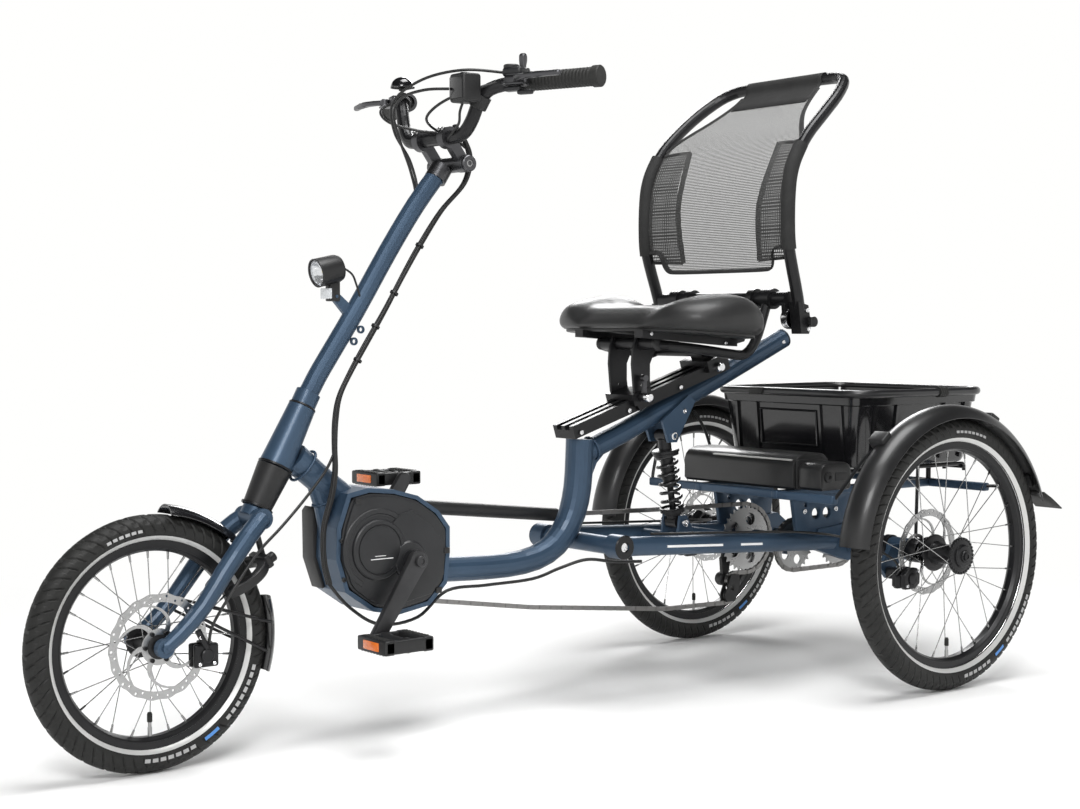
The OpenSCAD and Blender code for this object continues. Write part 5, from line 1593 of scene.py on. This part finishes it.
def crate():
    """Glossy tray with ribs, a rolled lip and a round rail on top."""
    x_half, y0, y1 = 0.198, 0.577, 0.949
    z_top, z_floor = 0.5405, 0.3972
    cy = (y0 + y1) / 2
    hx, hy = x_half - 0.006, (y1 - y0) / 2 - 0.006

    def ring(bm, shrink_x, shrink_y, z):
        """Loop round the tray at a height, drawn in from its widest by the shrinks."""
        points = rounded_rectangle(hx - shrink_x, hy - shrink_y, 0.03, 6)
        return [bm.verts.new((x, cy + y, z)) for x, y in points]

    bm = bmesh.new()
    outer = [(-0.003, -0.003, z_top - 0.004), (0.0, 0.0, z_top - 0.006), (0.002, 0.002, z_top - 0.022),
             (0.006, 0.006, z_top - 0.024), (0.019, 0.016, z_floor + 0.010), (0.022, 0.019, z_floor + 0.003),
             (0.028, 0.025, z_floor)]
    inner = [(0.030, 0.027, z_floor + 0.004), (0.024, 0.021, z_floor + 0.010), (0.008, 0.008, z_top - 0.02),
             (0.005, 0.005, z_top - 0.004)]
    rings = [ring(bm, *level) for level in outer]
    inner_rings = [ring(bm, *level) for level in inner]
    skin(bm, rings)
    skin(bm, inner_rings + [rings[0]])
    bm.faces.new(rings[-1])
    bm.faces.new(inner_rings[0])
    body = finish_mesh("crate_tray", bm, "gloss_black", "rear_end", 35.0)
    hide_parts("crate")
    ribs = bmesh.new()
    for side in (-1, 1):
        for x in (-0.14, -0.085, 0.085, 0.14):
            face_rib(ribs, (x, cy + side * (hy - 0.0055), z_top - 0.024),
                     (x, cy + side * (hy - 0.0165), z_floor + 0.012), 0.006, 0.004)
        for y in (-0.13, -0.07, 0.07, 0.13):
            face_rib(ribs, (side * (hx - 0.0055), cy + y, z_top - 0.024),
                     (side * (hx - 0.0185), cy + y, z_floor + 0.012), 0.006, 0.004)
    finish_mesh("crate_ribs", ribs, "gloss_black", "rear_end")
    frame_bm = bmesh.new()
    for side in (-1, 1):
        panel_frame(frame_bm, cy + side * (hy - 0.0105), -0.075, 0.075, z_floor + 0.04, z_top - 0.036, side)
    finish_mesh("crate_panels", frame_bm, "gloss_black", "rear_end")
    rim = bmesh.new()
    path = [(x, cy + y, 0.540) for x, y in rounded_rectangle(x_half, (y1 - y0) / 2, 0.05, 8)]
    sweep(rim, path, 0.0078, 16, closed=True)
    finish_mesh("crate_rim", rim, "rim_black", "rear_end", 60.0)
    straps = bmesh.new()
    for y in (0.80, 0.806, 0.812, 0.818):
        lathe(straps, [(0.0078, -0.0028), (0.0102, -0.0024), (0.0102, 0.0024), (0.0078, 0.0028)],
              (x_half, y, 0.540), (0, 1, 0), 20)
    box(straps, (-0.088, y0 - 0.012, 0.534), (-0.048, y0 + 0.012, 0.5475), 0.004, 3)
    finish_mesh("crate_straps", straps, "rubber", "rear_end")


MAT["rim_black"] = black("rim_black", (0.014, 0.014, 0.015), 0.32, coat=0.2, grain=700.0, bump=0.08)


def face_rib(bm, top, foot, width, depth):
    """Upright rib on a wall of the crate."""
    top, foot = Vector(top), Vector(foot)
    if abs(top.y - 0.763) > abs(top.x):
        out = Vector((0, 1 if top.y > 0.763 else -1, 0))
        side = Vector((1, 0, 0))
    else:
        out = Vector((1 if top.x > 0 else -1, 0, 0))
        side = Vector((0, 1, 0))
    made = []
    for p in (top, foot):
        for s, d in ((-1, -0.3), (-1, 1), (1, 1), (1, -0.3)):
            made.append(bm.verts.new(p + side * (s * width / 2) + out * (depth * d)))
    skin(bm, [made[:4], made[4:]])
    bm.faces.new(made[:4])
    bm.faces.new(made[4:])


def panel_frame(bm, y, x0, x1, z0, z1, side):
    """Raised border of the panel on the crate's end walls."""
    for a, b in (((x0, z0), (x1, z0)), ((x1, z0), (x1, z1)), ((x1, z1), (x0, z1)), ((x0, z1), (x0, z0))):
        lift = 0.0022
        ya = y + side * (lift + (a[1] - 0.47) * 0.077)
        yb = y + side * (lift + (b[1] - 0.47) * 0.077)
        rod(bm, (a[0], ya, a[1]), (b[0], yb, b[1]), 0.002, 8)


def rear_calipers():
    """Two-piston calipers on the discs, each with its bracket, bolts and hose."""
    for side, tag in ((1, "left"), (-1, "right")):
        disc_x = LEFT_AXLE.x - 0.047
        outline = [(0.576, 0.192), (0.582, 0.187), (0.606, 0.187), (0.619, 0.196), (0.6195, 0.214),
                   (0.612, 0.2255), (0.590, 0.2255), (0.5765, 0.214)]
        bm = bmesh.new()
        for low, high in ((0.278, 0.2912), (0.2968, 0.310)):
            plate(bm, outline, high - low, side_matrix(side * (low + high) / 2), bevel=0.003)
        box(bm, (side * disc_x - 0.006, 0.5745, 0.189), (side * disc_x + 0.006, 0.579, 0.212), 0.0015, 2)
        box(bm, (side * 0.264 - 0.0145, 0.591, 0.201), (side * 0.264 + 0.0145, 0.613, 0.2215), 0.003, 3)
        for x, y, z in ((0.310, 0.598, 0.206), (0.278, 0.598, 0.206)):
            out = side if x > disc_x else -side
            lathe(bm, [(0.0, 0.0), (0.0105, 0.0), (0.0115, 0.001), (0.0115, 0.0022), (0.0095, 0.0034),
                       (0.0, 0.0034)],
                  (side * x, y, z), (out, 0, 0), 32)
        body = finish_mesh(f"caliper_{tag}", bm, "black_metal", "rear_end", 35.0)
        if side > 0:
            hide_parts("rear_calipers")
        bolts = bmesh.new()
        for y, z in ((0.583, 0.194), (0.613, 0.219)):
            bolt(bolts, (side * 0.310, y, z), (side, 0, 0), 0.0032, 0.0024)
        finish_mesh(f"caliper_bolts_{tag}", bolts, "alloy", "rear_end")
        path = [(0.284, 0.590, 0.224), (0.276, 0.582, 0.240), (0.240, 0.560, 0.262), (0.170, 0.545, 0.276),
                (0.130, 0.480, 0.284), (0.118, 0.380, 0.290), (0.112, 0.250, 0.297), (0.106, 0.140, 0.303)]
        hose = bmesh.new()
        sweep(hose, catmull([Vector((side * x, y, z)) for x, y, z in path], 6), 0.0023, 10)
        finish_mesh(f"rear_hose_{tag}", hose, "cable", "rear_end")


def swingarm_details():
    """Stripes, caps, bolts, welds and bearing housings of the rear arm."""
    bm = bmesh.new()
    for s in (-1, 1):
        for ya, yb in ((0.165, 0.30), (0.345, 0.40)):
            strip = []
            za = 0.286 - (ya - 0.066) * (30 / 534)
            zb = 0.286 - (yb - 0.066) * (30 / 534)
            for y, z in ((ya, za), (yb, zb)):
                for a in (-7, 7):
                    t = math.radians(a)
                    strip.append(bm.verts.new((s * (0.105 + 0.01715 * math.cos(t)), y,
                                               z + 0.01715 * math.sin(t))))
            bm.faces.new((strip[0], strip[1], strip[3], strip[2]))
    finish_mesh("arm_stripes", bm, "white", "rear_end")
    caps = bmesh.new()
    for s in (-1, 1):
        lathe(caps, [(0.0085, 0.0), (0.0205, 0.0), (0.0212, 0.001), (0.0195, 0.0025), (0.0085, 0.0025)],
              mm(s * 121, 66, 286), (s, 0, 0), 36)
    finish_mesh("pivot_caps", caps, "black_metal", "rear_end")
    bolts = bmesh.new()
    side_bolts(bolts, ((28, 292, 305, 7, 4), (25, 312, 284, 4, 3), (114, 652, 226, 3.5, 2.5),
                       (114, 676, 262, 3.5, 2.5), (114, 640, 276, 3.5, 2.5)))
    finish_mesh("arm_bolts", bolts, "alloy", "rear_end")
    weld_ring("weld_axle_left", mm(115, 657, 250), (1, 0, 0), 0.0208, "rear_end", 0.003)
    weld_ring("weld_axle_right", mm(-115, 657, 250), (1, 0, 0), 0.0208, "rear_end", 0.003)
    housing = bmesh.new()
    for s in (-1, 1):
        lathe(housing, [(0.0212, 0.0), (0.0225, 0.002), (0.0225, 0.024), (0.0205, 0.028), (0.0088, 0.028)],
              mm(s * 254, 657, 250), (s, 0, 0), 36)
        lathe(housing, [(0.0208, 0.0), (0.0235, 0.002), (0.0235, 0.014), (0.0208, 0.016)],
              mm(s * 196, 657, 250), (s, 0, 0), 36)
    finish_mesh("bearing_housings", housing, "black_metal", "rear_end")


chains()
jackshaft()
derailleur_details()
spring()
rack_pieces()
battery()
rear_fenders()
crate()
swingarm_details()
rear_calipers()


# ---------- cockpit ----------

GRIP_YAW = math.atan2(-137.3 + 184.5, 302 - 178)


def on_grip(side):
    """Frame along a grip: X runs out along the bar and -Y points forwards."""
    place = Matrix.Translation(mm(152, -194.2, 1058)) @ Matrix.Rotation(GRIP_YAW, 4, "Z")
    if side < 0:
        place = Matrix.Scale(-1, 4, (1, 0, 0)) @ place
    return place


def grip_part(name, side, mat, body, build):
    """Object whose mesh is made in the grip's frame."""
    bm = bmesh.new()
    build(bm)
    bm.transform(on_grip(side))
    if side < 0:
        bmesh.ops.reverse_faces(bm, faces=bm.faces)
    obj = finish_mesh(name, bm, mat, body)
    return obj


def build_grip(bm):
    """Soft grip with shallow rings, a flat for the palm and a clamp ring at its end."""
    profile = [(0.0113, 0.028), (0.0152, 0.0285), (0.0162, 0.031), (0.0162, 0.034), (0.0146, 0.0365)]
    x = 0.040
    while x < 0.140:
        profile += [(0.0146, x), (0.0152, x + 0.0012), (0.0152, x + 0.0034), (0.0146, x + 0.0046)]
        x += 0.0062
    profile += [(0.0148, 0.1465), (0.0172, 0.1475), (0.0172, 0.1585), (0.0158, 0.16), (0.006, 0.1603),
                (0.0, 0.1595)]
    lathe(bm, profile, (0, 0, 0), X_AXIS, 40)


def build_housing(bm):
    """Brake master cylinder with its clamp, reservoir cap and hose nut."""
    lathe(bm, [(0.0113, 0.0085), (0.0152, 0.0085), (0.0162, 0.0095), (0.0162, 0.0195), (0.0152, 0.0205),
               (0.0113, 0.0205)], (0, 0, 0), X_AXIS, 36)
    box(bm, (-0.002, -0.031, -0.0095), (0.040, -0.0135, 0.0085), 0.004, 3)
    box(bm, (0.004, -0.0455, -0.0088), (0.0415, -0.026, -0.0052), 0.0015, 2)
    box(bm, (0.008, -0.018, -0.008), (0.022, -0.008, 0.006), 0.003, 2)
    box(bm, (0.002, -0.0295, 0.008), (0.036, -0.0145, 0.0105), 0.0018, 2)
    lathe(bm, [(0.0, -0.012), (0.0042, -0.0115), (0.0048, -0.009), (0.0048, -0.004), (0.006, -0.003),
               (0.006, 0.0)], (-0.001, -0.0205, -0.001), X_AXIS, 18)
    lathe(bm, [(0.0, -0.009), (0.0055, -0.009), (0.006, -0.0083), (0.006, 0.0055), (0.0052, 0.0065),
               (0.0, 0.0067)],
          (0.030, -0.037, 0), (0, 0, 1), 24)


def build_lever(bm):
    """Two-finger lever blade with a hooked tip and lightening holes."""
    outline = [(0.026, -0.044), (0.0295, -0.0345), (0.034, -0.0325), (0.042, -0.044), (0.060, -0.0555),
               (0.080, -0.0605), (0.100, -0.0632), (0.115, -0.0632), (0.1225, -0.0638), (0.1275, -0.0655),
               (0.1278, -0.070), (0.1245, -0.0742), (0.118, -0.0742), (0.098, -0.0738), (0.076, -0.0718),
               (0.054, -0.0672), (0.038, -0.0575)]
    plate(bm, outline, 0.0085, Matrix.Identity(4), bevel=0.0026,
          holes=[(0.068, -0.0645, 0.0022), (0.083, -0.0672, 0.0022)])
    collar(bm, 0.0032, 0.0078, 0.0045, (0.030, -0.037, 0), (0, 0, 1),
          24)


def build_shifter(bm):
    """Shifter body on top of the bar, with a round gear cap and a trigger below."""
    box(bm, (-0.014, -0.0185, 0.0085), (0.0225, 0.0085, 0.0242), 0.006, 4)
    lathe(bm, [(0.0, 0.0), (0.0125, 0.0), (0.0128, 0.001), (0.0128, 0.0045), (0.0112, 0.006), (0.0, 0.0062)],
          (-0.002, -0.006, 0.0225), (0, 0, 1), 32)
    box(bm, (0.002, -0.040, -0.018), (0.034, -0.022, -0.0105), 0.003, 3)
    box(bm, (0.026, -0.036, -0.024), (0.052, -0.024, -0.0165), 0.003, 3)
    lathe(bm, [(0.0, -0.016), (0.0035, -0.0155), (0.0042, -0.013), (0.0042, -0.003), (0.0055, -0.002),
               (0.0055, 0.0)],
          (-0.002, -0.006, 0.017), X_AXIS, 18)
    lathe(bm, [(0.0, 0.0), (0.0062, 0.0), (0.0062, 0.0012), (0.0045, 0.0018), (0.0, 0.0018)],
          (0.0175, 0.012, 0.018), X_AXIS, 20)
    rod(bm, (0.001, 0.012, 0.018), (0.0175, 0.012, 0.018), 0.0021, 12)
    box(bm, (0.001, 0.002, 0.016), (0.0035, 0.012, 0.020), 0.0006, 1)


def build_paddle(bm):
    """Thumb paddle of the shifter."""
    lathe(bm, [(0.0022, 0.0), (0.0052, 0.0), (0.0052, 0.009), (0.0022, 0.009)], (0.0042, 0.012, 0.018),
          X_AXIS, 22)
    outline = [(0.006, 0.018), (0.0165, 0.019), (0.0155, 0.028), (0.0185, 0.036), (0.0185, 0.044),
               (0.0150, 0.0485), (0.0095, 0.0485), (0.0060, 0.044), (0.0060, 0.036), (0.0075, 0.028)]
    plate(bm, outline, 0.0105, side_matrix(0.0087), bevel=0.0028)


def controls():
    """Grips, brake bodies, levers and the shifter."""
    for side, tag in ((1, "left"), (-1, "right")):
        grip = grip_part(f"grip_{tag}", side, "rubber", "bars", build_grip)
        housing = grip_part(f"brake_body_{tag}", side, "grey_alloy", "bars", build_housing)
        lever = grip_part(f"lever_{tag}", side, "grey_alloy", f"{tag}_brake_lever",
                          build_lever)
        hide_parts(f"brake_lever_{tag}")
        if side > 0:
            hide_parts("grips")
            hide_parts("brake_housings")
    grip_part("shifter_body", 1, "dark_plastic", "bars", build_shifter)
    paddle = grip_part("shift_paddle", 1, "grey_alloy", "shifter", build_paddle)
    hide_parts("shift_lever")


def display():
    """Display case on its clamp, with its window and lead."""
    bm = bmesh.new()
    box(bm, mm(100, -286, 1024), mm(140, -250, 1070), 0.005, 4)
    box(bm, mm(104, -256, 1026), mm(116, -240, 1039), 0.002, 2)
    lathe(bm, [(0.0112, -0.011), (0.0152, -0.011), (0.016, -0.010), (0.016, 0.010), (0.0152, 0.011),
               (0.0112, 0.011)], mm(112.5, -234.5, 1030), Vector((11, 5, 20)), 32)
    pod = finish_mesh("display_case", bm, "black_plastic", "bars", 35.0)
    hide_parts("display_pod")
    glass = bmesh.new()
    box(glass, mm(103, -287.4, 1030), mm(137, -285.6, 1064), 0.0008, 2)
    finish_mesh("display_window", glass, "gloss_black", "bars")
    ring = bmesh.new()
    lathe(ring, [(0.0064, -0.001), (0.0082, -0.001), (0.0082, 0.0008), (0.0064, 0.0008)], mm(120, -270, 1070),
          (0, 0, 1), 28)
    finish_mesh("button_ring", ring, "grey_alloy", "bars")
    leads = bmesh.new()
    path = [(104, -262, 1026), (96, -262, 1012), (88, -258, 996), (70, -256, 984), (46, -252, 972),
            (24, -232, 975)]
    sweep(leads, smooth_path(path), 0.0022, 8)
    finish_mesh("display_lead", leads, "cable", "bars")


BELL = mm(-128, -225, 1048)


def bell_parts():
    """Bell with its clamp, dome and thumb tab."""
    bm = bmesh.new()
    lathe(bm, [(0.0112, -0.006), (0.0142, -0.006), (0.0148, -0.0052), (0.0148, 0.0052), (0.0142, 0.006),
               (0.0112, 0.006)], BELL, X_AXIS, 32)
    box(bm, BELL + Vector((-0.006, -0.006, 0.012)), BELL + Vector((0.006, 0.006, 0.0205)), 0.002, 2)
    lathe(bm, [(0.0, 0.0205), (0.0029, 0.0205), (0.0029, 0.033), (0.0, 0.033)], BELL, (0, 0, 1), 16)
    base = finish_mesh("bell_clamp", bm, "black_plastic", "bars", 35.0)
    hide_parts("bell")
    dome = bmesh.new()
    dome_r = 0.0195
    profile = [(dome_r - 0.0012, 0.0285), (dome_r + 0.0006, 0.0285), (dome_r + 0.0008, 0.0298),
               (dome_r, 0.0322)]
    for k in range(1, 9):
        a = math.radians(10 * k + 6)
        profile.append((dome_r * math.cos(a), 0.0302 + 0.0172 * math.sin(a)))
    profile += [(0.0, 0.0476)]
    lathe(dome, profile, BELL, (0, 0, 1), 48)
    finish_mesh("bell_dome", dome, "gloss_black", "bars", 50.0)
    tab = bmesh.new()
    lathe(tab, [(0.0031, 0.0), (0.0058, 0.0), (0.0058, 0.004), (0.0031, 0.004)], BELL + Vector((0, 0, 0.024)),
          (0, 0, 1), 20)
    outline = [(0.003, -0.0035), (0.026, -0.003), (0.031, -0.0048), (0.0345, -0.003), (0.0352, 0.0),
               (0.0345, 0.003), (0.031, 0.0048), (0.026, 0.003), (0.003, 0.0035)]
    plate(tab, outline, 0.0038, Matrix.Translation(BELL + Vector((0, 0, 0.026))), bevel=0.001)
    lever = finish_mesh("bell_tab", tab, "dark_plastic", "bell_thumb_lever", 35.0)
    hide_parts("bell_lever")


LAMP_BACK = mm(0, -428, 762)
LAMP_AXIS = (mm(0, -474, 752) - LAMP_BACK).normalized()


def lamp_parts():
    """Headlight: shell, cup, lens, diode, mount, front reflector and lead."""
    bm = bmesh.new()
    lathe(bm, [(0.0, -0.001), (0.012, -0.0005), (0.0205, 0.0035), (0.0228, 0.010), (0.0230, 0.044),
               (0.0232, 0.0465), (0.0212, 0.0470), (0.0205, 0.0445), (0.0200, 0.036)], LAMP_BACK, LAMP_AXIS,
          48)
    shell = finish_mesh("lamp_shell", bm, "black_plastic", "lamp", 40.0)
    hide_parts("headlight")
    cup = bmesh.new()
    profile = [(0.0199, 0.0435)]
    for k in range(7):
        r = 0.0195 * (1 - k / 6)
        profile.append((max(r, 0.0), 0.0405 - 0.014 * (1 - (r / 0.0195) ** 2)))
    lathe(cup, profile, LAMP_BACK, LAMP_AXIS, 20)
    finish_mesh("lamp_reflector", cup, "mirror", "lamp", 12.0)
    lens = bmesh.new()
    lathe(lens, [(0.0, 0.0462), (0.010, 0.0460), (0.0170, 0.0452), (0.0204, 0.0440)], LAMP_BACK, LAMP_AXIS,
          40)
    finish_mesh("lamp_lens", lens, "lens", "lamp", 60.0)
    diode = bmesh.new()
    box(diode, (-0.003, -0.003, 0.026), (0.003, 0.003, 0.034), 0.001, 2,
        Matrix.Translation(LAMP_BACK) @ frame_of(LAMP_AXIS))
    finish_mesh("lamp_diode", diode, "amber_light", "lamp")
    low = bmesh.new()
    box(low, mm(-8, -452, 708), mm(8, -433, 743), 0.002, 2)
    finish_mesh("lamp_mount", low, "black_plastic", "lamp")
    glass = bmesh.new()
    box(glass, mm(-14, -457.5, 712), mm(14, -452, 729), 0.0012, 2)
    finish_mesh("lamp_front_reflector", glass, "clear_reflex", "lamp")
    lead = bmesh.new()
    sweep(lead, smooth_path([(4, -430, 764), (8, -412, 752), (9, -404, 735), (10, -398, 716)]), 0.0018, 8)
    finish_mesh("lamp_lead", lead, "cable", "steering")


MAT["mirror"] = make_material("lamp_mirror", (0.75, 0.76, 0.78), 0.12, metallic=1.0)
MAT["lens"] = make_material("lamp_lens", (0.9, 0.92, 0.94), 0.05, alpha=0.22)
MAT["clear_reflex"] = make_material("clear_reflector", (0.62, 0.64, 0.66), 0.15, metallic=0.4, coat=0.5)
MAT["amber_light"] = make_material("diode", (0.75, 0.68, 0.35), 0.3)


BUNDLE = [(14, -214, 1002), (18, -196, 975), (20, -188, 945), (20, -200, 905), (19, -246, 858),
          (18, -288, 800), (18, -322, 748), (18, -356, 694), (18, -392, 640), (18, -424, 590),
          (20, -444, 555), (22, -452, 520), (26, -456, 480), (30, -458, 440), (31, -465, 400),
          (32, -480, 350), (38, -484, 300), (44, -478, 262)]
LOOP = [(104, -289, 1046), (70, -312, 1046), (20, -322, 1038), (-12, -318, 1015), (-22, -300, 975),
        (-26, -276, 925), (-24, -268, 880), (-20, -290, 830), (-16, -322, 780), (-13, -350, 736),
        (-12, -366, 710)]
HOSE = [(24, -455, 470), (30, -476, 440), (42, -520, 400), (58, -570, 362), (66, -620, 322), (68, -668, 262),
        (60, -690, 222), (48, -690, 195)]
BEAM_LEAD = [(44, -478, 262), (42, -440, 222), (36, -380, 188), (26, -300, 190), (24, -240, 228),
             (24, -160, 230), (24, -60, 232), (26, 0, 246), (50, 40, 260), (88, 70, 258), (104, 120, 256)]
SHIFT_CABLE = [(105, -262, 1078), (45, -300, 1066), (-22, -312, 1036), (-44, -296, 990), (-40, -266, 940),
               (-28, -262, 880), (-22, -300, 820), (-18, -333, 768), (-16, -356, 730)]


def strand(name, path, radius, body=None):
    """One cable along a path."""
    bm = bmesh.new()
    sweep(bm, path, radius, 10)
    obj = finish_mesh(name, bm, "cable", body, 60.0)
    return obj


def cable_run():
    """Bundle along the column, loops at the bar and hoses to the brakes."""
    centre = smooth_path(BUNDLE)
    for i, (dx, dy, r) in enumerate(((-0.0025, -0.0018, 0.0024), (0.0025, -0.0018, 0.0024),
                                     (0.0, 0.0028, 0.0022))):
        path = []
        for k, p in enumerate(centre):
            wave = 0.0007 * math.sin(k * 0.35 + 2.1 * i)
            path.append(p + Vector((dx + wave, dy, 0)))
        obj = strand(f"bundle_{i}", path, r)
        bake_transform(obj)
        if i == 0:
            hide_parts("control_cables")
    loop = strand("pod_loop", smooth_path(LOOP), 0.0024)
    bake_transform(loop)
    strand("front_hose", smooth_path(HOSE), 0.0024, body="steering")
    strand("beam_lead", smooth_path(BEAM_LEAD), 0.0028, body="frame")
    ties = bmesh.new()
    for y, z in ((-288, 800), (-338, 722), (-374, 668), (-408, 614)):
        p = mm(18, y, z)
        collar(ties, 0.0062, 0.0072, 0.0018, p, Vector((0, -0.55, -0.83)), 20)
    finish_mesh("cable_ties", ties, "black_plastic", "steering")
    for side, tag in ((1, "left"), (-1, "right")):
        start = on_grip(side) @ Vector((-0.012, -0.0205, -0.001))
        inner = on_grip(side) @ Vector((-0.030, -0.030, -0.004))
        points = [start, inner] + [mm(*p) for p in ((side * 98, -288, 1030), (side * 55, -298, 1006),
                                                    (side * 22, -262, 992), (14, -226, 985), (18, -196, 965))]
        strand(f"brake_hose_{tag}", catmull(points, 8), 0.0023, body="bars")
    start = on_grip(1) @ Vector((-0.016, -0.006, 0.017))
    cable = strand("shift_cable", catmull([start] + [mm(*p) for p in SHIFT_CABLE], 8), 0.0023)
    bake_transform(cable)


def stem_details():
    """Bolts and cap of the stem."""
    bolts = bmesh.new()
    for s in (-1, 1):
        bolt(bolts, mm(s * 51, -213, 936), (s, 0, 0), 0.0072, 0.004)
        for dx in (-5, 5):
            bolt(bolts, mm(s * 37 + dx, -258, 990.5), (0, -0.72, 0.69), 0.003, 0.0025)
    finish_mesh("stem_bolts", bolts, "steel", "bars")
    cap = bmesh.new()
    lathe(cap, [(0.0, 0.0), (0.0125, 0.0), (0.0135, 0.001), (0.0135, 0.0045), (0.0120, 0.006),
                (0.0065, 0.006), (0.006, 0.004), (0.0, 0.004)], mm(50, -213, 936), X_AXIS, 32)
    finish_mesh("stem_cap", cap, "grey_alloy", "bars")


# ---------- front end ----------

def front_guards():
    """Two short lengths of front mudguard with their stays."""
    first = fender_piece("front_guard_rear", FRONT_AXLE, 0.182, 0.028, 0.014, 46, 82, "steering",
                         "gloss_black")
    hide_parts("front_fender")
    fender_piece("front_guard_foot", FRONT_AXLE, 0.182, 0.028, 0.014, -18, 15, "steering", "gloss_black")
    stays = bmesh.new()
    for s in (-1, 1):
        for path in ([(s * 22, -578, 165), (s * 29, -598, 176), (s * 40, -668, 214), (s * 45, -700, 232)],
                     [(s * 22, -570, 210), (s * 29, -590, 216), (s * 40, -660, 239), (s * 45, -690, 248)]):
            sweep(stays, smooth_path(path, 4), 0.0025, 10)
    rod(stays, mm(0, -608, 322), mm(0, -596, 362), 0.005, 12)
    rod(stays, mm(0, -608, 330), mm(0, -625, 341), 0.005, 12)
    finish_mesh("front_guard_stays", stays, "black_metal", "steering")


def lock_parts():
    """Ring lock: horseshoe body with a box on top, a post and a key barrel."""
    place = Matrix.Translation(FRONT_AXLE) @ Matrix.Rotation(math.radians(30), 4, "X")
    place = place @ Matrix.Translation(mm(0, 170, 0))
    bm = bmesh.new()
    steps = 40
    rings = []
    outline = [(0.0382, -0.006), (0.0395, -0.0078), (0.0512, -0.0078), (0.0528, -0.006), (0.0528, 0.006),
               (0.0512, 0.0078), (0.0395, 0.0078), (0.0382, 0.006)]
    a0, a1 = math.radians(-90 + 46), math.radians(270 - 46)
    for i in range(steps + 1):
        a = a0 + (a1 - a0) * i / steps
        rings.append([bm.verts.new((r * math.cos(a), r * math.sin(a), z)) for r, z in outline])
    skin(bm, rings)
    bm.faces.new(rings[0])
    bm.faces.new(rings[-1][::-1])
    box(bm, (-0.026, 0.0445, -0.0108), (0.026, 0.0558, 0.0108), 0.003, 3)
    box(bm, (-0.024, 0.051, -0.0115), (-0.006, 0.0575, 0.004), 0.002, 2)
    lathe(bm, [(0.0082, 0.0), (0.0082, 0.0105), (0.007, 0.012), (0.0048, 0.012), (0.0044, 0.0102),
               (0.0, 0.0102)],
          (0.016, 0.054, 0), (0, 1, 0), 28)
    bm.transform(place)
    rod(bm, mm(0, -572, 310), mm(0, -586, 360), 0.005, 12)
    body = finish_mesh("lock_body", bm, "black_plastic", "steering", 40.0)
    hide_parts("ring_lock")
    key = bmesh.new()
    box(key, (-0.0006, 0.010, -0.003), (0.0006, 0.0145, 0.003), 0.0002, 1)
    lathe(key, [(0.0, 0.0098), (0.0042, 0.0098), (0.0042, 0.0108), (0.0, 0.0108)], (0, 0, 0), (0, 1, 0), 20)
    key.transform(place @ Matrix.Translation((0.016, 0.054, 0)))
    finish_mesh("lock_barrel", key, "steel", "steering")


def front_caliper_details():
    """Front brake caliper and its bolts."""
    bm = bmesh.new()
    box(bm, mm(22.5, -713, 157), mm(30.5, -673, 193), 0.004, 3)
    box(bm, mm(37.5, -713, 157), mm(47.5, -673, 193), 0.004, 3)
    box(bm, mm(24, -700, 192), mm(46, -686, 196), 0.002, 2)
    lathe(bm, [(0.0, 0.0), (0.0095, 0.0), (0.0105, 0.001), (0.0105, 0.003), (0.009, 0.0042), (0.0, 0.0042)],
          mm(47.5, -693, 175), X_AXIS, 30)
    rod(bm, mm(47, -693, 186), mm(47, -708, 214), 0.005, 16)
    caliper = finish_mesh("front_caliper_body", bm, "black_metal", "steering", 35.0)
    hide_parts("front_caliper")
    bolts = bmesh.new()
    bolt(bolts, mm(49, -704, 204), X_AXIS, 0.0035, 0.0025)
    bolt(bolts, mm(48.5, -682, 163), X_AXIS, 0.003, 0.0025)
    bolt(bolts, mm(48.5, -706, 163), X_AXIS, 0.003, 0.0025)
    finish_mesh("front_caliper_bolts", bolts, "alloy", "steering")


controls()
display()
bell_parts()
lamp_parts()
cable_run()
stem_details()
front_guards()
lock_parts()
front_caliper_details()
